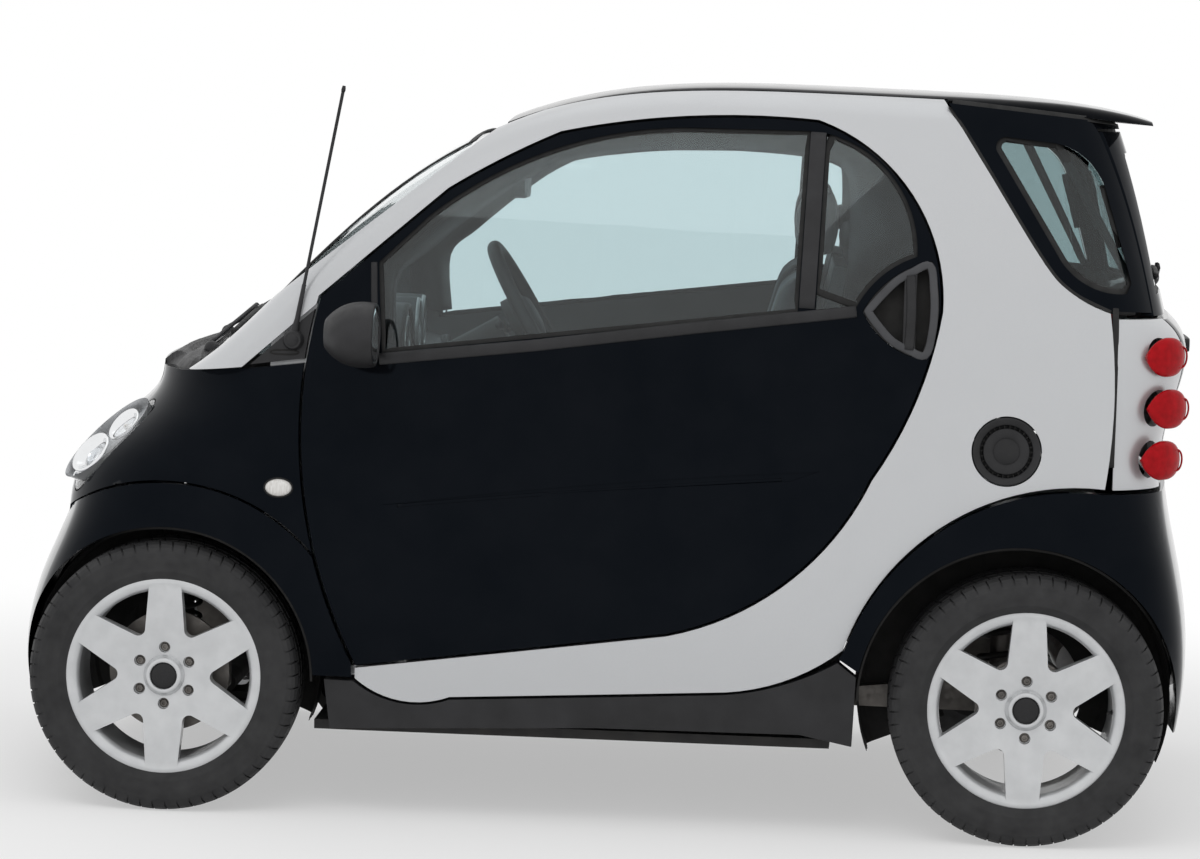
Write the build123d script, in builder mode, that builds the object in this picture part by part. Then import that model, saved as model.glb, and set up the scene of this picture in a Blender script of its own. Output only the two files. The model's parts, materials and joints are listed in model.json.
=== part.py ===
from build123d import *
import math
import os

os.makedirs("parts", exist_ok=True)

# ----------------------------------------------------------------- driving dimensions (mm)
# X runs to the rear, Y to the car's right and Z up; the origin is on the ground at mid-wheelbase.
HALF_LENGTH = 1280
AXLE_X = 906
WHEEL_Z = 287
TYRE_RADIUS = 287
FRONT_WHEEL_Y = 636
REAR_WHEEL_Y = 655
FRONT_TYRE_WIDTH = 175
REAR_TYRE_WIDTH = 190
WIDEST = 738
WIDEST_X = 250
SILL_Z = 130
BELT_Z = 900
WAIST_Z = 560
PANEL_GAP = 6


def half_width(x, z):
    """Half the body's width at a station x and a height z."""
    widest = WIDEST - 1.72e-5 * (x - WIDEST_X) ** 2
    if z < BELT_Z:
        return widest - (z - WAIST_Z) ** 2 / 8000
    above = z - BELT_Z
    return widest - (BELT_Z - WAIST_Z) ** 2 / 8000 - 0.085 * above - above ** 2 / 3200


# Cross-sections of the cabin: station x, height of the roof or windscreen on the centreline, and how far
# the crown falls to the rail.
CABIN_SECTIONS = (
    (-980, 928, 52),
    (-640, 1192, 42),
    (-300, 1457, 26),
    (-80, 1536, 18),
    (250, 1572, 14),
    (750, 1567, 14),
    (1140, 1526, 14),
)
RAIL_ROUND = 62


def side_slope(x, z):
    """How fast the half-width changes with height."""
    return (half_width(x, z + 1) - half_width(x, z - 1)) / 2


def rail_round(x, roof_z, drop, inset):
    """The ends of the round that joins the side to the roof: its foot on the side, its head on the crown."""
    rail_z = roof_z - drop - inset
    half = half_width(x, rail_z) - inset
    foot_z = rail_z - RAIL_ROUND + 0.6 * inset
    foot_y = half_width(x, foot_z) - inset
    lean = side_slope(x, foot_z)
    near, far = foot_y - 260, foot_y
    for _ in range(30):
        head_y = (near + far) / 2
        head_z = roof_z - inset - drop * (head_y / half) ** 2
        fall = -2 * drop * head_y / half**2
        meet_z = (head_z + fall * (foot_y - lean * foot_z - head_y)) / (1 - fall * lean)
        meet_y = foot_y + lean * (meet_z - foot_z)
        if math.dist((meet_y, meet_z), (head_y, head_z)) > math.dist((meet_y, meet_z), (foot_y, foot_z)):
            near = head_y
        else:
            far = head_y
    return (foot_y, foot_z), (head_y, head_z), lean


def cabin_form(inset):
    """The cabin from windscreen foot to tail, every wall set in by the inset."""
    with BuildPart() as form:
        for x, roof_z, drop in CABIN_SECTIONS:
            foot, head, lean = rail_round(x, roof_z, drop, inset)
            knee_z = min(BELT_Z, foot[1] - 60)
            low_z, high_z = (SILL_Z + inset + knee_z) / 2, (knee_z + foot[1]) / 2
            sill_y = half_width(x, SILL_Z) - inset
            with BuildSketch(Plane.YZ.offset(x)):
                with BuildLine():
                    for side in (-1, 1):
                        knee = (side * (half_width(x, knee_z) - inset), knee_z)
                        ThreePointArc((side * sill_y, SILL_Z + inset),
                                      (side * (half_width(x, low_z) - inset), low_z), knee)
                        ThreePointArc(knee, (side * (half_width(x, high_z) - inset), high_z),
                                      (side * foot[0], foot[1]))
                        TangentArc((side * foot[0], foot[1]), (side * head[0], head[1]),
                                   tangent=(side * lean, 1))
                    ThreePointArc((-head[0], head[1]), (0, roof_z - inset), head)
                    Line((sill_y, SILL_Z + inset), (-sill_y, SILL_Z + inset))
                make_face()
        loft()
    return form.part

# Plan outlines of the nose and of the tail: height, x on the centreline, and the radius of the plan corner.
NOSE_SECTIONS = (
    (150, -1232, 230),
    (290, -1268, 260),
    (450, -1240, 280),
    (570, -1200, 300),
    (670, -1188, 320),
    (780, -1112, 320),
    (900, -1000, 320),
    (1010, -870, 320),
)
TAIL_SECTIONS = (
    (150, 1236, 170),
    (300, 1268, 190),
    (450, 1264, 200),
    (610, 1240, 200),
    (740, 1216, 200),
    (900, 1228, 200),
    (1110, 1206, 190),
)
REAR_TOP_SECTIONS = (
    (1090, 1212, 190),
    (1230, 1176, 180),
    (1360, 1140, 170),
    (1480, 1100, 150),
    (1560, 1070, 130),
)
FRONT_BUMPER_SECTIONS = (
    (150, -1238, 120),
    (290, -1270, 130),
    (450, -1246, 140),
    (570, -1197, 160),
    (720, -1166, 210),
)
REAR_BUMPER_SECTIONS = (
    (150, 1238, 110),
    (300, 1263, 115),
    (450, 1262, 125),
    (610, 1232, 140),
    (760, 1204, 170),
)
SIDE_PLAN_RADIUS = 29070
NOSE_PLAN_RADIUS = 2600
TAIL_PLAN_RADIUS = 4200
NOSE_ROOT_X = -380
TAIL_ROOT_X = 420


def toward(start, goal, distance):
    """The point at a distance from the start on the way to the goal."""
    span = math.dist(start, goal)
    return tuple(a + (b - a) * distance / span for a, b in zip(start, goal))


def corner_centre(end_centre, end_radius, side_centre, side_radius, outward):
    """Where two circles cross, on the body's corner side."""
    dx, dy = side_centre[0] - end_centre[0], side_centre[1] - end_centre[1]
    span = math.hypot(dx, dy)
    along = (end_radius**2 - side_radius**2 + span**2) / (2 * span)
    across = math.sqrt(end_radius**2 - along**2)
    foot = (end_centre[0] + along * dx / span, end_centre[1] + along * dy / span)
    choices = [(foot[0] + turn * across * dy / span, foot[1] - turn * across * dx / span) for turn in (-1, 1)]
    return max(choices, key=lambda point: point[0] * outward)


def end_form(sections, root_x, plan_radius, inset):
    """The nose or the tail as a stack of plan outlines of tangent arcs, every wall set in by the inset."""
    outward = math.copysign(1, root_x)
    with BuildPart() as form:
        for z, end_x, corner in sections:
            end_centre = (end_x - outward * plan_radius, 0)
            side_centre = (WIDEST_X, half_width(WIDEST_X, z) - SIDE_PLAN_RADIUS)
            centre = corner_centre(end_centre, plan_radius - corner, side_centre, SIDE_PLAN_RADIUS - corner,
                                   outward)
            on_end = toward(end_centre, centre, plan_radius - inset)
            on_side = toward(side_centre, centre, SIDE_PLAN_RADIUS - inset)
            between = ((on_end[0] + on_side[0]) / 2, (on_end[1] + on_side[1]) / 2)
            on_corner = toward(centre, between, corner - inset)
            root = (root_x, half_width(root_x, z) - inset)
            mid_x = (root_x + on_side[0]) / 2
            middle = (mid_x, half_width(mid_x, z) - inset)
            with BuildSketch(Plane.XY.offset(z)):
                with BuildLine():
                    Line(root, (root[0], -root[1]))
                    for side in (-1, 1):
                        left = [(point[0], side * point[1])
                                for point in (root, middle, on_side, on_corner, on_end)]
                        ThreePointArc(left[0], left[1], left[2])
                        ThreePointArc(left[2], left[3], left[4])
                    ThreePointArc((on_end[0], -on_end[1]), (end_x - outward * inset, 0), on_end)
                make_face()
        loft()
    return form.part

DOOR_WALL = 55
FRAME_WALL = 28
CELL_WALL = 45
GLASS_SET_IN = 8
GLASS_THICKNESS = 5
LEFT_FACE = 300      # where cutting prisms for the left side start, measured out from the centreline
LEFT_DEPTH = 600


def door_outline(margin=0, mode=Mode.ADD):
    """The door's edge, seen from the side, grown by a margin."""
    with BuildLine() as edge:
        Line((-499, 328), (150, 421))
        ThreePointArc((150, 421), (395, 540), (562, 759))
        ThreePointArc((562, 759), (648, 925), (697, 1110))
        ThreePointArc((697, 1110), (627, 1348), (430, 1493))
        ThreePointArc((430, 1493), (150, 1492), (-108, 1452))
        ThreePointArc((-108, 1452), (-232, 1390), (-337, 1327))
        Line((-337, 1327), (-596, 1096))
        ThreePointArc((-596, 1096), (-625, 775), (-499, 328))
    with BuildSketch(mode=Mode.PRIVATE) as shape:
        make_face(edge.edges())
        if margin:
            offset(amount=margin)
    add(shape.sketch, mode=mode)


def main_window_outline():
    """The door's front pane."""
    with BuildLine() as edge:
        Line((-463, 985), (-478, 1173))
        Line((-478, 1173), (-376, 1274))
        ThreePointArc((-376, 1274), (-111, 1424), (182, 1474))
        Line((182, 1474), (415, 1475))
        Line((415, 1475), (401, 1098))
        Line((401, 1098), (-463, 985))
    make_face(edge.edges())


def rear_window_outline():
    """The door's small rear pane, behind the upright bar."""
    with BuildLine() as edge:
        Line((449, 1471), (438, 1103))
        Line((438, 1103), (523, 1115))
        ThreePointArc((523, 1115), (569, 1176), (646, 1222))
        ThreePointArc((646, 1222), (600, 1372), (449, 1471))
    make_face(edge.edges())


def handle_outline():
    """The leaf-shaped handle bezel at the door's rear edge."""
    with BuildLine() as edge:
        ThreePointArc((536, 1106), (600, 1180), (677, 1214))
        ThreePointArc((677, 1214), (695, 1110), (672, 1010))
        ThreePointArc((672, 1010), (595, 1037), (536, 1106))
    make_face(edge.edges())


def silver_outline():
    """The safety cell's side, seen from the side, before the door is cut out."""
    with BuildLine() as edge:
        Line((-901, 930), (-248, 1460))
        ThreePointArc((-248, 1460), (-20, 1537), (210, 1556))
        ThreePointArc((210, 1556), (450, 1561), (692, 1554))
        Line((692, 1554), (762, 1445))
        Line((762, 1445), (900, 1232))
        ThreePointArc((900, 1232), (965, 1160), (1050, 1118))
        ThreePointArc((1050, 1118), (1063, 930), (1050, 755))
        ThreePointArc((1050, 755), (700, 655), (520, 400))
        ThreePointArc((520, 400), (400, 330), (250, 300))
        Line((250, 300), (-300, 268))
        ThreePointArc((-300, 268), (-430, 262), (-500, 300))
        Polyline((-500, 300), (-500, 335), (-470, 420), (-580, 800), (-592, 1094), (-757, 945), (-901, 930))
    make_face(edge.edges())


def wing_outline():
    """The front wing's edge behind, above and below, open to the nose."""
    with BuildLine() as edge:
        Polyline((-506, 304), (-540, 962), (-614, 960), (-754, 941), (-902, 926), (-1010, 926), (-1300, 700),
                 (-1300, 304), close=True)
    make_face(edge.edges())
    door_outline(PANEL_GAP, Mode.SUBTRACT)


def bumper_side_outline():
    """What the bumper's flare must stay clear of behind: the door and the sill."""
    with BuildLine() as edge:
        Polyline((-506, 100), (-506, 304), (-540, 962), (-300, 962), (-300, 100), close=True)
    make_face(edge.edges())
    door_outline(PANEL_GAP)


def skirt_outline():
    """The black sill skirt between the wheels."""
    with BuildLine() as edge:
        Line((-566, 296), (-552, 190))
        Line((-552, 190), (10, 214))
        Line((10, 214), (436, 217))
        Line((436, 217), (546, 195))
        Polyline((546, 195), (550, 343), (511, 373))
        ThreePointArc((511, 373), (400, 322), (250, 294))
        Line((250, 294), (-300, 262))
        ThreePointArc((-300, 262), (-430, 256), (-504, 294))
        Line((-504, 294), (-566, 296))
    make_face(edge.edges())


def write(piece, name):
    """Label a finished piece and write its file."""
    piece.part.label = name
    export_step(piece.part, f"parts/{name}.step")


# ----------------------------------------------------------------- forms
PANEL_WALL = 22
BUMPER_WALL = 22
LENS_WALL = 4
HOUSING_DEPTH = 80
HOUSING_FLOOR = 74
FLARE_OUTSET = -12
REAR_FLARE_OUTSET = -17
SWAGE_DEPTH = 3
CLOSE = 46           # an inset just inside the safety cell's inner face
PILLAR_DEPTH = 90
GRILLE_BACK = 40
LINER_INSET = 10

cabin_shapes = {inset: cabin_form(inset) for inset in (
    0, SWAGE_DEPTH, GLASS_SET_IN, GLASS_SET_IN + GLASS_THICKNESS, PANEL_WALL, FRAME_WALL, CELL_WALL, CLOSE,
    DOOR_WALL, PILLAR_DEPTH)}
nose_shapes = {inset: end_form(NOSE_SECTIONS, NOSE_ROOT_X, NOSE_PLAN_RADIUS, inset)
               for inset in (0, LENS_WALL, LINER_INSET, PANEL_WALL, HOUSING_FLOOR, HOUSING_DEPTH)}
front_bumper_shapes = {inset: end_form(FRONT_BUMPER_SECTIONS, NOSE_ROOT_X, NOSE_PLAN_RADIUS, inset)
                       for inset in (FLARE_OUTSET, LINER_INSET, BUMPER_WALL, GRILLE_BACK)}
tail_shapes = {inset: end_form(TAIL_SECTIONS, TAIL_ROOT_X, TAIL_PLAN_RADIUS, inset)
               for inset in (0, PANEL_WALL)}
rear_bumper_shapes = {inset: end_form(REAR_BUMPER_SECTIONS, TAIL_ROOT_X, TAIL_PLAN_RADIUS, inset)
                      for inset in (REAR_FLARE_OUTSET, BUMPER_WALL, LINER_INSET)}
rear_top_shapes = {inset: end_form(REAR_TOP_SECTIONS, TAIL_ROOT_X, TAIL_PLAN_RADIUS, inset)
                   for inset in (0, GLASS_SET_IN, GLASS_SET_IN + GLASS_THICKNESS, PANEL_WALL)}


def wall(shapes, outer, inner):
    """The wall between two insets of one form."""
    return shapes[outer] - shapes[inner]


# ----------------------------------------------------------------- safety cell
HEADER_INNER_Y = 500
PILLAR_FOOT_X = -905
PILLAR_FOOT_Y = 632
HEADER_FRONT_X = -300
HEADER_REAR_X = -232
INTAKE_CENTRE = (844, 827)
INTAKE_RADIUS = 71


def windscreen_plan(margin):
    """The space between the A-pillars, seen from above."""
    top = HEADER_INNER_Y - margin
    foot = PILLAR_FOOT_Y - margin
    with BuildLine() as edge:
        Polyline((HEADER_REAR_X, -top), (HEADER_REAR_X, top), (HEADER_FRONT_X, top + 8),
                 (PILLAR_FOOT_X, foot), (PILLAR_FOOT_X, -foot), (HEADER_FRONT_X, -top - 8), close=True)
    make_face(edge.edges())


with BuildPart() as cell_side:
    add(wall(cabin_shapes, 0, CELL_WALL))
    with BuildSketch(Plane.XZ.offset(HEADER_INNER_Y)):
        silver_outline()
    extrude(amount=LEFT_DEPTH, mode=Mode.INTERSECT)
    with BuildSketch(Plane.XZ.offset(LEFT_FACE)):
        door_outline(PANEL_GAP)
    extrude(amount=LEFT_DEPTH, mode=Mode.SUBTRACT)
    with BuildSketch(Plane.XY.offset(800)):
        windscreen_plan(0)
    extrude(amount=900, mode=Mode.SUBTRACT)
    with BuildSketch(Plane.XZ.offset(LEFT_FACE)):
        with Locations(INTAKE_CENTRE):
            Circle(INTAKE_RADIUS + 2)
    extrude(amount=LEFT_DEPTH, mode=Mode.SUBTRACT)

with BuildPart() as hinge_pillar:
    add(wall(cabin_shapes, FRAME_WALL, PILLAR_DEPTH))
    with BuildSketch(Plane.XZ.offset(LEFT_FACE)):
        with BuildLine() as edge:
            Polyline((-574, 303), (-580, 345), (-590, 385), (-614, 450), (-650, 520), (-700, 620),
                     (-700, 1040), (-604, 1090), (-634, 900), (-638, 775), (-624, 650), (-598, 545),
                     (-561, 445), (-518, 325), (-430, 316), (-430, 303), close=True)
        make_face(edge.edges())
    extrude(amount=LEFT_DEPTH, mode=Mode.INTERSECT)

with BuildPart() as headers:
    add(wall(cabin_shapes, FRAME_WALL, CELL_WALL))
    with BuildSketch(Plane.XY.offset(1300)):
        with Locations(((HEADER_FRONT_X + HEADER_REAR_X) / 2, 0)):
            Rectangle(HEADER_REAR_X - HEADER_FRONT_X, 2 * HEADER_INNER_Y + 40)
        with Locations((650, 0)):
            Rectangle(70, 2 * HEADER_INNER_Y + 40)
    extrude(amount=400, mode=Mode.INTERSECT)

with BuildPart() as safety_cell:
    add(cell_side.part)
    add(hinge_pillar.part)
    mirror(about=Plane.XZ)
    add(headers.part)
write(safety_cell, "safety_cell")

# ----------------------------------------------------------------- floor pan
FLOOR_Z = 180
FLOOR_SHEET = 20
TUNNEL_WIDTH = 150
TUNNEL_HEIGHT = 90
BOOT_FLOOR_Z = 634
WELL_REAR_X = -590
WELL_INNER_Y = 400
REAR_WELL_INNER_Y = 535
with BuildPart() as floor_pan:
    add(cabin_shapes[CLOSE])
    with BuildSketch(Plane.XZ.offset(-660)):
        with BuildLine() as edge:
            Polyline((-862, 880), (-840, 600), (-640, 230), (-600, FLOOR_Z), (500, FLOOR_Z),
                     (540, BOOT_FLOOR_Z), (1110, BOOT_FLOOR_Z), (1110, BOOT_FLOOR_Z + FLOOR_SHEET),
                     (523, BOOT_FLOOR_Z + FLOOR_SHEET), (482, FLOOR_Z + FLOOR_SHEET),
                     (-592, FLOOR_Z + FLOOR_SHEET), (-622, 242), (-820, 606), (-842, 880), close=True)
        make_face(edge.edges())
    extrude(amount=1320, mode=Mode.INTERSECT)
    with BuildSketch(Plane.XY.offset(FLOOR_Z - 10)):
        with Locations((WELL_REAR_X - 200, 580), (WELL_REAR_X - 200, -580)):
            Rectangle(400, 2 * (580 - WELL_INNER_Y))
    extrude(amount=BOOT_FLOOR_Z - FLOOR_Z + 100, mode=Mode.SUBTRACT)
    with BuildSketch(Plane.XY.offset(FLOOR_Z - 10)):
        with Locations((WELL_REAR_X - 200, 680), (WELL_REAR_X - 200, -680)):
            Rectangle(400, 240)
    extrude(amount=1000, mode=Mode.SUBTRACT)
    with BuildSketch(Plane.YZ.offset(-600)):
        with Locations((0, FLOOR_Z + TUNNEL_HEIGHT / 2)):
            RectangleRounded(TUNNEL_WIDTH, TUNNEL_HEIGHT, 30)
    extrude(amount=1080)
write(floor_pan, "floor_pan")

# ----------------------------------------------------------------- roof, windscreen, cowl
ROOF_REAR_X = 1136
with BuildPart() as roof_panel:
    add(wall(cabin_shapes, 0, PANEL_WALL))
    with BuildSketch(Plane.XY.offset(1300)):
        with BuildLine() as edge:
            Polyline((HEADER_REAR_X + 4, -HEADER_INNER_Y + 4), (HEADER_REAR_X + 4, HEADER_INNER_Y - 4),
                     (702, HEADER_INNER_Y - 4), (702, 620), (ROOF_REAR_X, 620), (ROOF_REAR_X, -620),
                     (702, -620), (702, -HEADER_INNER_Y + 4), close=True)
        make_face(edge.edges())
    extrude(amount=400, mode=Mode.INTERSECT)
    with BuildSketch(Plane.XZ.offset(-700)):
        with BuildLine() as edge:
            Polyline((-400, 1380), (-400, 1700), (1300, 1700), (1300, 1490), (1136, 1508), (702, 1548),
                     (200, 1500), close=True)
        make_face(edge.edges())
    extrude(amount=1400, mode=Mode.INTERSECT)
write(roof_panel, "roof_panel")

with BuildPart() as windscreen:
    add(wall(cabin_shapes, GLASS_SET_IN, GLASS_SET_IN + GLASS_THICKNESS))
    with BuildSketch(Plane.XY.offset(800)):
        windscreen_plan(4)
    extrude(amount=900, mode=Mode.INTERSECT)
    with BuildSketch(Plane.XY.offset(700)):
        with Locations(((HEADER_FRONT_X - 4 - 856) / 2, 0)):
            Rectangle(856 + HEADER_FRONT_X - 4, 1400)
    extrude(amount=900, mode=Mode.INTERSECT)
write(windscreen, "windscreen")

with BuildPart() as cowl:
    add(wall(cabin_shapes, 0, FRAME_WALL))
    with BuildSketch(Plane.XZ.offset(-700)):
        with BuildLine() as edge:
            Polyline((-972, 938), (-972, 960), (-860, 1060), (-860, 975), (-905, 938), close=True)
        make_face(edge.edges())
    extrude(amount=1400, mode=Mode.INTERSECT)
    with BuildSketch(Plane.XY.offset(700)):
        with Locations((-920, 0)):
            Rectangle(120, 2 * (PILLAR_FOOT_Y - 6))
    extrude(amount=500, mode=Mode.INTERSECT)

with BuildPart() as corner_triangle:
    add(wall(cabin_shapes, 0, FRAME_WALL))
    with BuildSketch(Plane.XZ.offset(LEFT_FACE)):
        with BuildLine() as edge:
            Polyline((-740, 951), (-600, 1078), (-600, 968), (-640, 966), close=True)
        make_face(edge.edges())
        door_outline(PANEL_GAP, Mode.SUBTRACT)
    extrude(amount=LEFT_DEPTH, mode=Mode.INTERSECT)
    mirror(about=Plane.XZ)

with BuildPart() as cowl_trim:
    add(cowl.part)
    add(corner_triangle.part)
write(cowl_trim, "cowl")

# ----------------------------------------------------------------- front wings, bonnet panel, bumper
BONNET_HALF = 425
BONNET_LOW_Z = 600
ARCH_RADIUS = 318
FLARE_RADIUS = 410
REAR_ARCH_RADIUS = 338
REAR_ARCH_CENTRE = (886, 292)

with BuildPart() as wing_skin:
    add(wall(nose_shapes, 0, PANEL_WALL))
    with BuildSketch(Plane.XZ.offset(LEFT_FACE)):
        wing_outline()
    extrude(amount=LEFT_DEPTH, mode=Mode.INTERSECT)
    with BuildSketch(Plane.XY.offset(300)):
        with Locations((-1000, 0)):
            Rectangle(900, 2 * (BONNET_HALF + 4))
    extrude(amount=800, mode=Mode.SUBTRACT)

with BuildPart() as wing_left:
    add(wing_skin.part)
    with BuildSketch(Plane.XZ.offset(LEFT_FACE)):
        with Locations((-AXLE_X, WHEEL_Z)):
            Circle(FLARE_RADIUS + 3)
    extrude(amount=LEFT_DEPTH, mode=Mode.SUBTRACT)

with BuildPart() as bonnet:
    add(wall(nose_shapes, 0, PANEL_WALL))
    with BuildSketch(Plane.XY.offset(BONNET_LOW_Z)):
        with Locations((-1150, 0)):
            Rectangle(358, 2 * BONNET_HALF)
    extrude(amount=332, mode=Mode.INTERSECT)

# The front bumper is one moulding with both wheel arch flares: it fills the side view inside the flare's
# circle, and the middle of the nose up to the service panel.
VALANCE_SEAM_Z = 243
with BuildPart() as bumper_reach:
    with BuildSketch(Plane.XZ.offset(-900)):
        with Locations((-AXLE_X, WHEEL_Z)):
            Circle(FLARE_RADIUS)
    extrude(amount=1800)
    with BuildSketch(Plane.YZ.offset(-1400)):
        with Locations((0, BONNET_LOW_Z + 200)):
            Rectangle(2 * (BONNET_HALF + 4), 408)
    extrude(amount=1000, mode=Mode.SUBTRACT)
    with BuildSketch(Plane.YZ.offset(-1400)):
        with Locations((0, (BONNET_LOW_Z - 4) / 2)):
            Rectangle(2 * BONNET_HALF, BONNET_LOW_Z - 4)
    extrude(amount=300)

with BuildPart() as front_bumper:
    add(wall(front_bumper_shapes, FLARE_OUTSET, BUMPER_WALL))
    add(bumper_reach.part, mode=Mode.INTERSECT)
    for side in (-1, 1):
        with BuildSketch(Plane.XZ.offset(-side * LEFT_FACE)):
            bumper_side_outline()
        extrude(amount=-side * LEFT_DEPTH, mode=Mode.SUBTRACT)
    with BuildSketch(Plane.XZ.offset(-900)):
        with Locations((-AXLE_X, WHEEL_Z)):
            Circle(ARCH_RADIUS)
        with Locations((-600, 202)):
            Rectangle(220, 204)
        with Locations((-1300, VALANCE_SEAM_Z)):
            Rectangle(400, 4)
    extrude(amount=1800, mode=Mode.SUBTRACT)
    with BuildSketch(Plane.YZ.offset(-1400)):
        with Locations((0, 400)):
            RectangleRounded(660, 120, 50)
    extrude(amount=400, mode=Mode.SUBTRACT)

GRILLE_SIZE = (700, 150)
with BuildPart() as grille:
    add(wall(front_bumper_shapes, BUMPER_WALL, GRILLE_BACK))
    with BuildSketch(Plane.YZ.offset(-1400)):
        with Locations((0, 400)):
            RectangleRounded(*GRILLE_SIZE, 60)
            with GridLocations(0, 34, 1, 3):
                Rectangle(640, 18, mode=Mode.SUBTRACT)
    extrude(amount=400, mode=Mode.INTERSECT)

# ----------------------------------------------------------------- headlamps
LAMP_CENTRE = (-1085, -545, 790)
LAMP_PLANE = Plane(origin=LAMP_CENTRE, x_dir=(0.73, 0, 0.70), z_dir=(-0.60, -0.50, 0.62))
with BuildPart() as lamp_bore:
    with BuildSketch(LAMP_PLANE.offset(-120)):
        Ellipse(132, 70)
    extrude(amount=260)
with BuildPart() as lamp_core:
    with BuildSketch(LAMP_PLANE.offset(-200)):
        Ellipse(129, 67)
    extrude(amount=400)
with BuildPart() as lamp_inside:
    with BuildSketch(LAMP_PLANE.offset(-200)):
        Ellipse(125, 63)
    extrude(amount=400)

with BuildPart() as lens_left:
    add(wall(nose_shapes, 0, LENS_WALL))
    add(lamp_core.part, mode=Mode.INTERSECT)
with BuildPart() as headlamp_lenses:
    add(lens_left.part.solids().sort_by(Axis.Z)[-1])
    mirror(about=Plane.XZ)
write(headlamp_lenses, "headlamp_lenses")

with BuildPart() as housing_left:
    add(wall(nose_shapes, PANEL_WALL, HOUSING_DEPTH))
    add(lamp_core.part, mode=Mode.INTERSECT)
with BuildPart() as housing_hollow:
    add(wall(nose_shapes, 0, HOUSING_FLOOR))
    add(lamp_inside.part, mode=Mode.INTERSECT)
with BuildPart() as headlamp_housings:
    add(housing_left.part)
    add(housing_hollow.part, mode=Mode.SUBTRACT)
    mirror(about=Plane.XZ)
write(headlamp_housings, "headlamp_housings")

with BuildPart() as front_wings:
    add(wing_left.part)
    add(lamp_bore.part, mode=Mode.SUBTRACT)
    mirror(about=Plane.XZ)
write(front_wings, "front_wings")

with BuildPart() as service_panel:
    add(bonnet.part)
    add(lamp_bore.part, mode=Mode.SUBTRACT)
    add(mirror(lamp_bore.part, about=Plane.XZ, mode=Mode.PRIVATE), mode=Mode.SUBTRACT)
write(service_panel, "service_panel")

with BuildPart() as bumper_cut:
    add(front_bumper.part)
    add(lamp_bore.part, mode=Mode.SUBTRACT)
    add(mirror(lamp_bore.part, about=Plane.XZ, mode=Mode.PRIVATE), mode=Mode.SUBTRACT)
write(bumper_cut, "front_bumper")
write(grille, "grille")

# ----------------------------------------------------------------- sill skirts and arch liners
with BuildPart() as sill_skirts:
    add(wall(cabin_shapes, 0, CELL_WALL))
    with BuildSketch(Plane.XZ.offset(LEFT_FACE)):
        skirt_outline()
    extrude(amount=LEFT_DEPTH, mode=Mode.INTERSECT)
    mirror(about=Plane.XZ)
write(sill_skirts, "sill_skirts")

LINER_WALL = 5
LINER_GAP = 3
with BuildPart() as arch_liners:
    for centre, arch_radius, inner_y, outer_y in (
            ((-AXLE_X, WHEEL_Z), ARCH_RADIUS, 412, 730),
            (REAR_ARCH_CENTRE, REAR_ARCH_RADIUS, REAR_WELL_INNER_Y, 740)):
        with BuildSketch(Plane.XZ.offset(inner_y)):
            with Locations(centre):
                Circle(arch_radius - LINER_GAP)
                Circle(arch_radius - LINER_GAP - LINER_WALL, mode=Mode.SUBTRACT)
            with Locations((centre[0], centre[1] - 200)):
                Rectangle(800, 400, mode=Mode.SUBTRACT)
        extrude(amount=outer_y - inner_y)
    front_limit = front_bumper_shapes[LINER_INSET].intersect(nose_shapes[LINER_INSET])
    add(front_limit + rear_bumper_shapes[LINER_INSET], mode=Mode.INTERSECT)
    mirror(about=Plane.XZ)
write(arch_liners, "arch_liners")

# ----------------------------------------------------------------- rear corner
QUARTER_PLANE = Plane.XZ.offset(LEFT_FACE)


def quarter_outline():
    """The black quarter-window panel, seen from the side."""
    with BuildLine() as edge:
        Line((703, 1543), (767, 1449))
        Line((767, 1449), (904, 1236))
        ThreePointArc((904, 1236), (967, 1165), (1052, 1123))
        Polyline((1052, 1123), (1250, 1114), (1250, 1400), (1125, 1505), (703, 1543))
    make_face(edge.edges())


def quarter_glass_outline():
    """The clear pane inside the quarter-window panel."""
    with BuildLine() as edge:
        Line((810, 1440), (945, 1222))
        ThreePointArc((945, 1222), (1010, 1170), (1085, 1158))
        Line((1085, 1158), (1095, 1180))
        Line((1095, 1180), (1036, 1375))
        ThreePointArc((1036, 1375), (1000, 1430), (930, 1466))
        Line((930, 1466), (825, 1476))
        ThreePointArc((825, 1476), (806, 1463), (810, 1440))
    make_face(edge.edges())


def hatch_outline(margin):
    """The glass hatch, seen from behind."""
    with BuildLine() as edge:
        Polyline((-600 + margin, 1107 + margin), (-520 + margin, 1498 - margin),
                 (520 - margin, 1498 - margin), (600 - margin, 1107 + margin), close=True)
    make_face(edge.edges())


with BuildPart() as quarter_left:
    add(wall(rear_top_shapes, 0, PANEL_WALL))
    with BuildSketch(QUARTER_PLANE):
        quarter_outline()
    extrude(amount=LEFT_DEPTH, mode=Mode.INTERSECT)
    with BuildSketch(Plane.YZ.offset(1000)):
        hatch_outline(-1)
    extrude(amount=300, mode=Mode.SUBTRACT)
    with BuildSketch(QUARTER_PLANE):
        quarter_glass_outline()
    extrude(amount=LEFT_DEPTH, mode=Mode.SUBTRACT)
with BuildPart() as quarter_panels:
    add(quarter_left.part)
    mirror(about=Plane.XZ)
write(quarter_panels, "quarter_panels")

with BuildPart() as quarter_glass:
    add(wall(rear_top_shapes, GLASS_SET_IN, GLASS_SET_IN + GLASS_THICKNESS))
    with BuildSketch(QUARTER_PLANE):
        quarter_glass_outline()
        offset(amount=-1)
    extrude(amount=LEFT_DEPTH, mode=Mode.INTERSECT)
    mirror(about=Plane.XZ)
write(quarter_glass, "quarter_glass")

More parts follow.
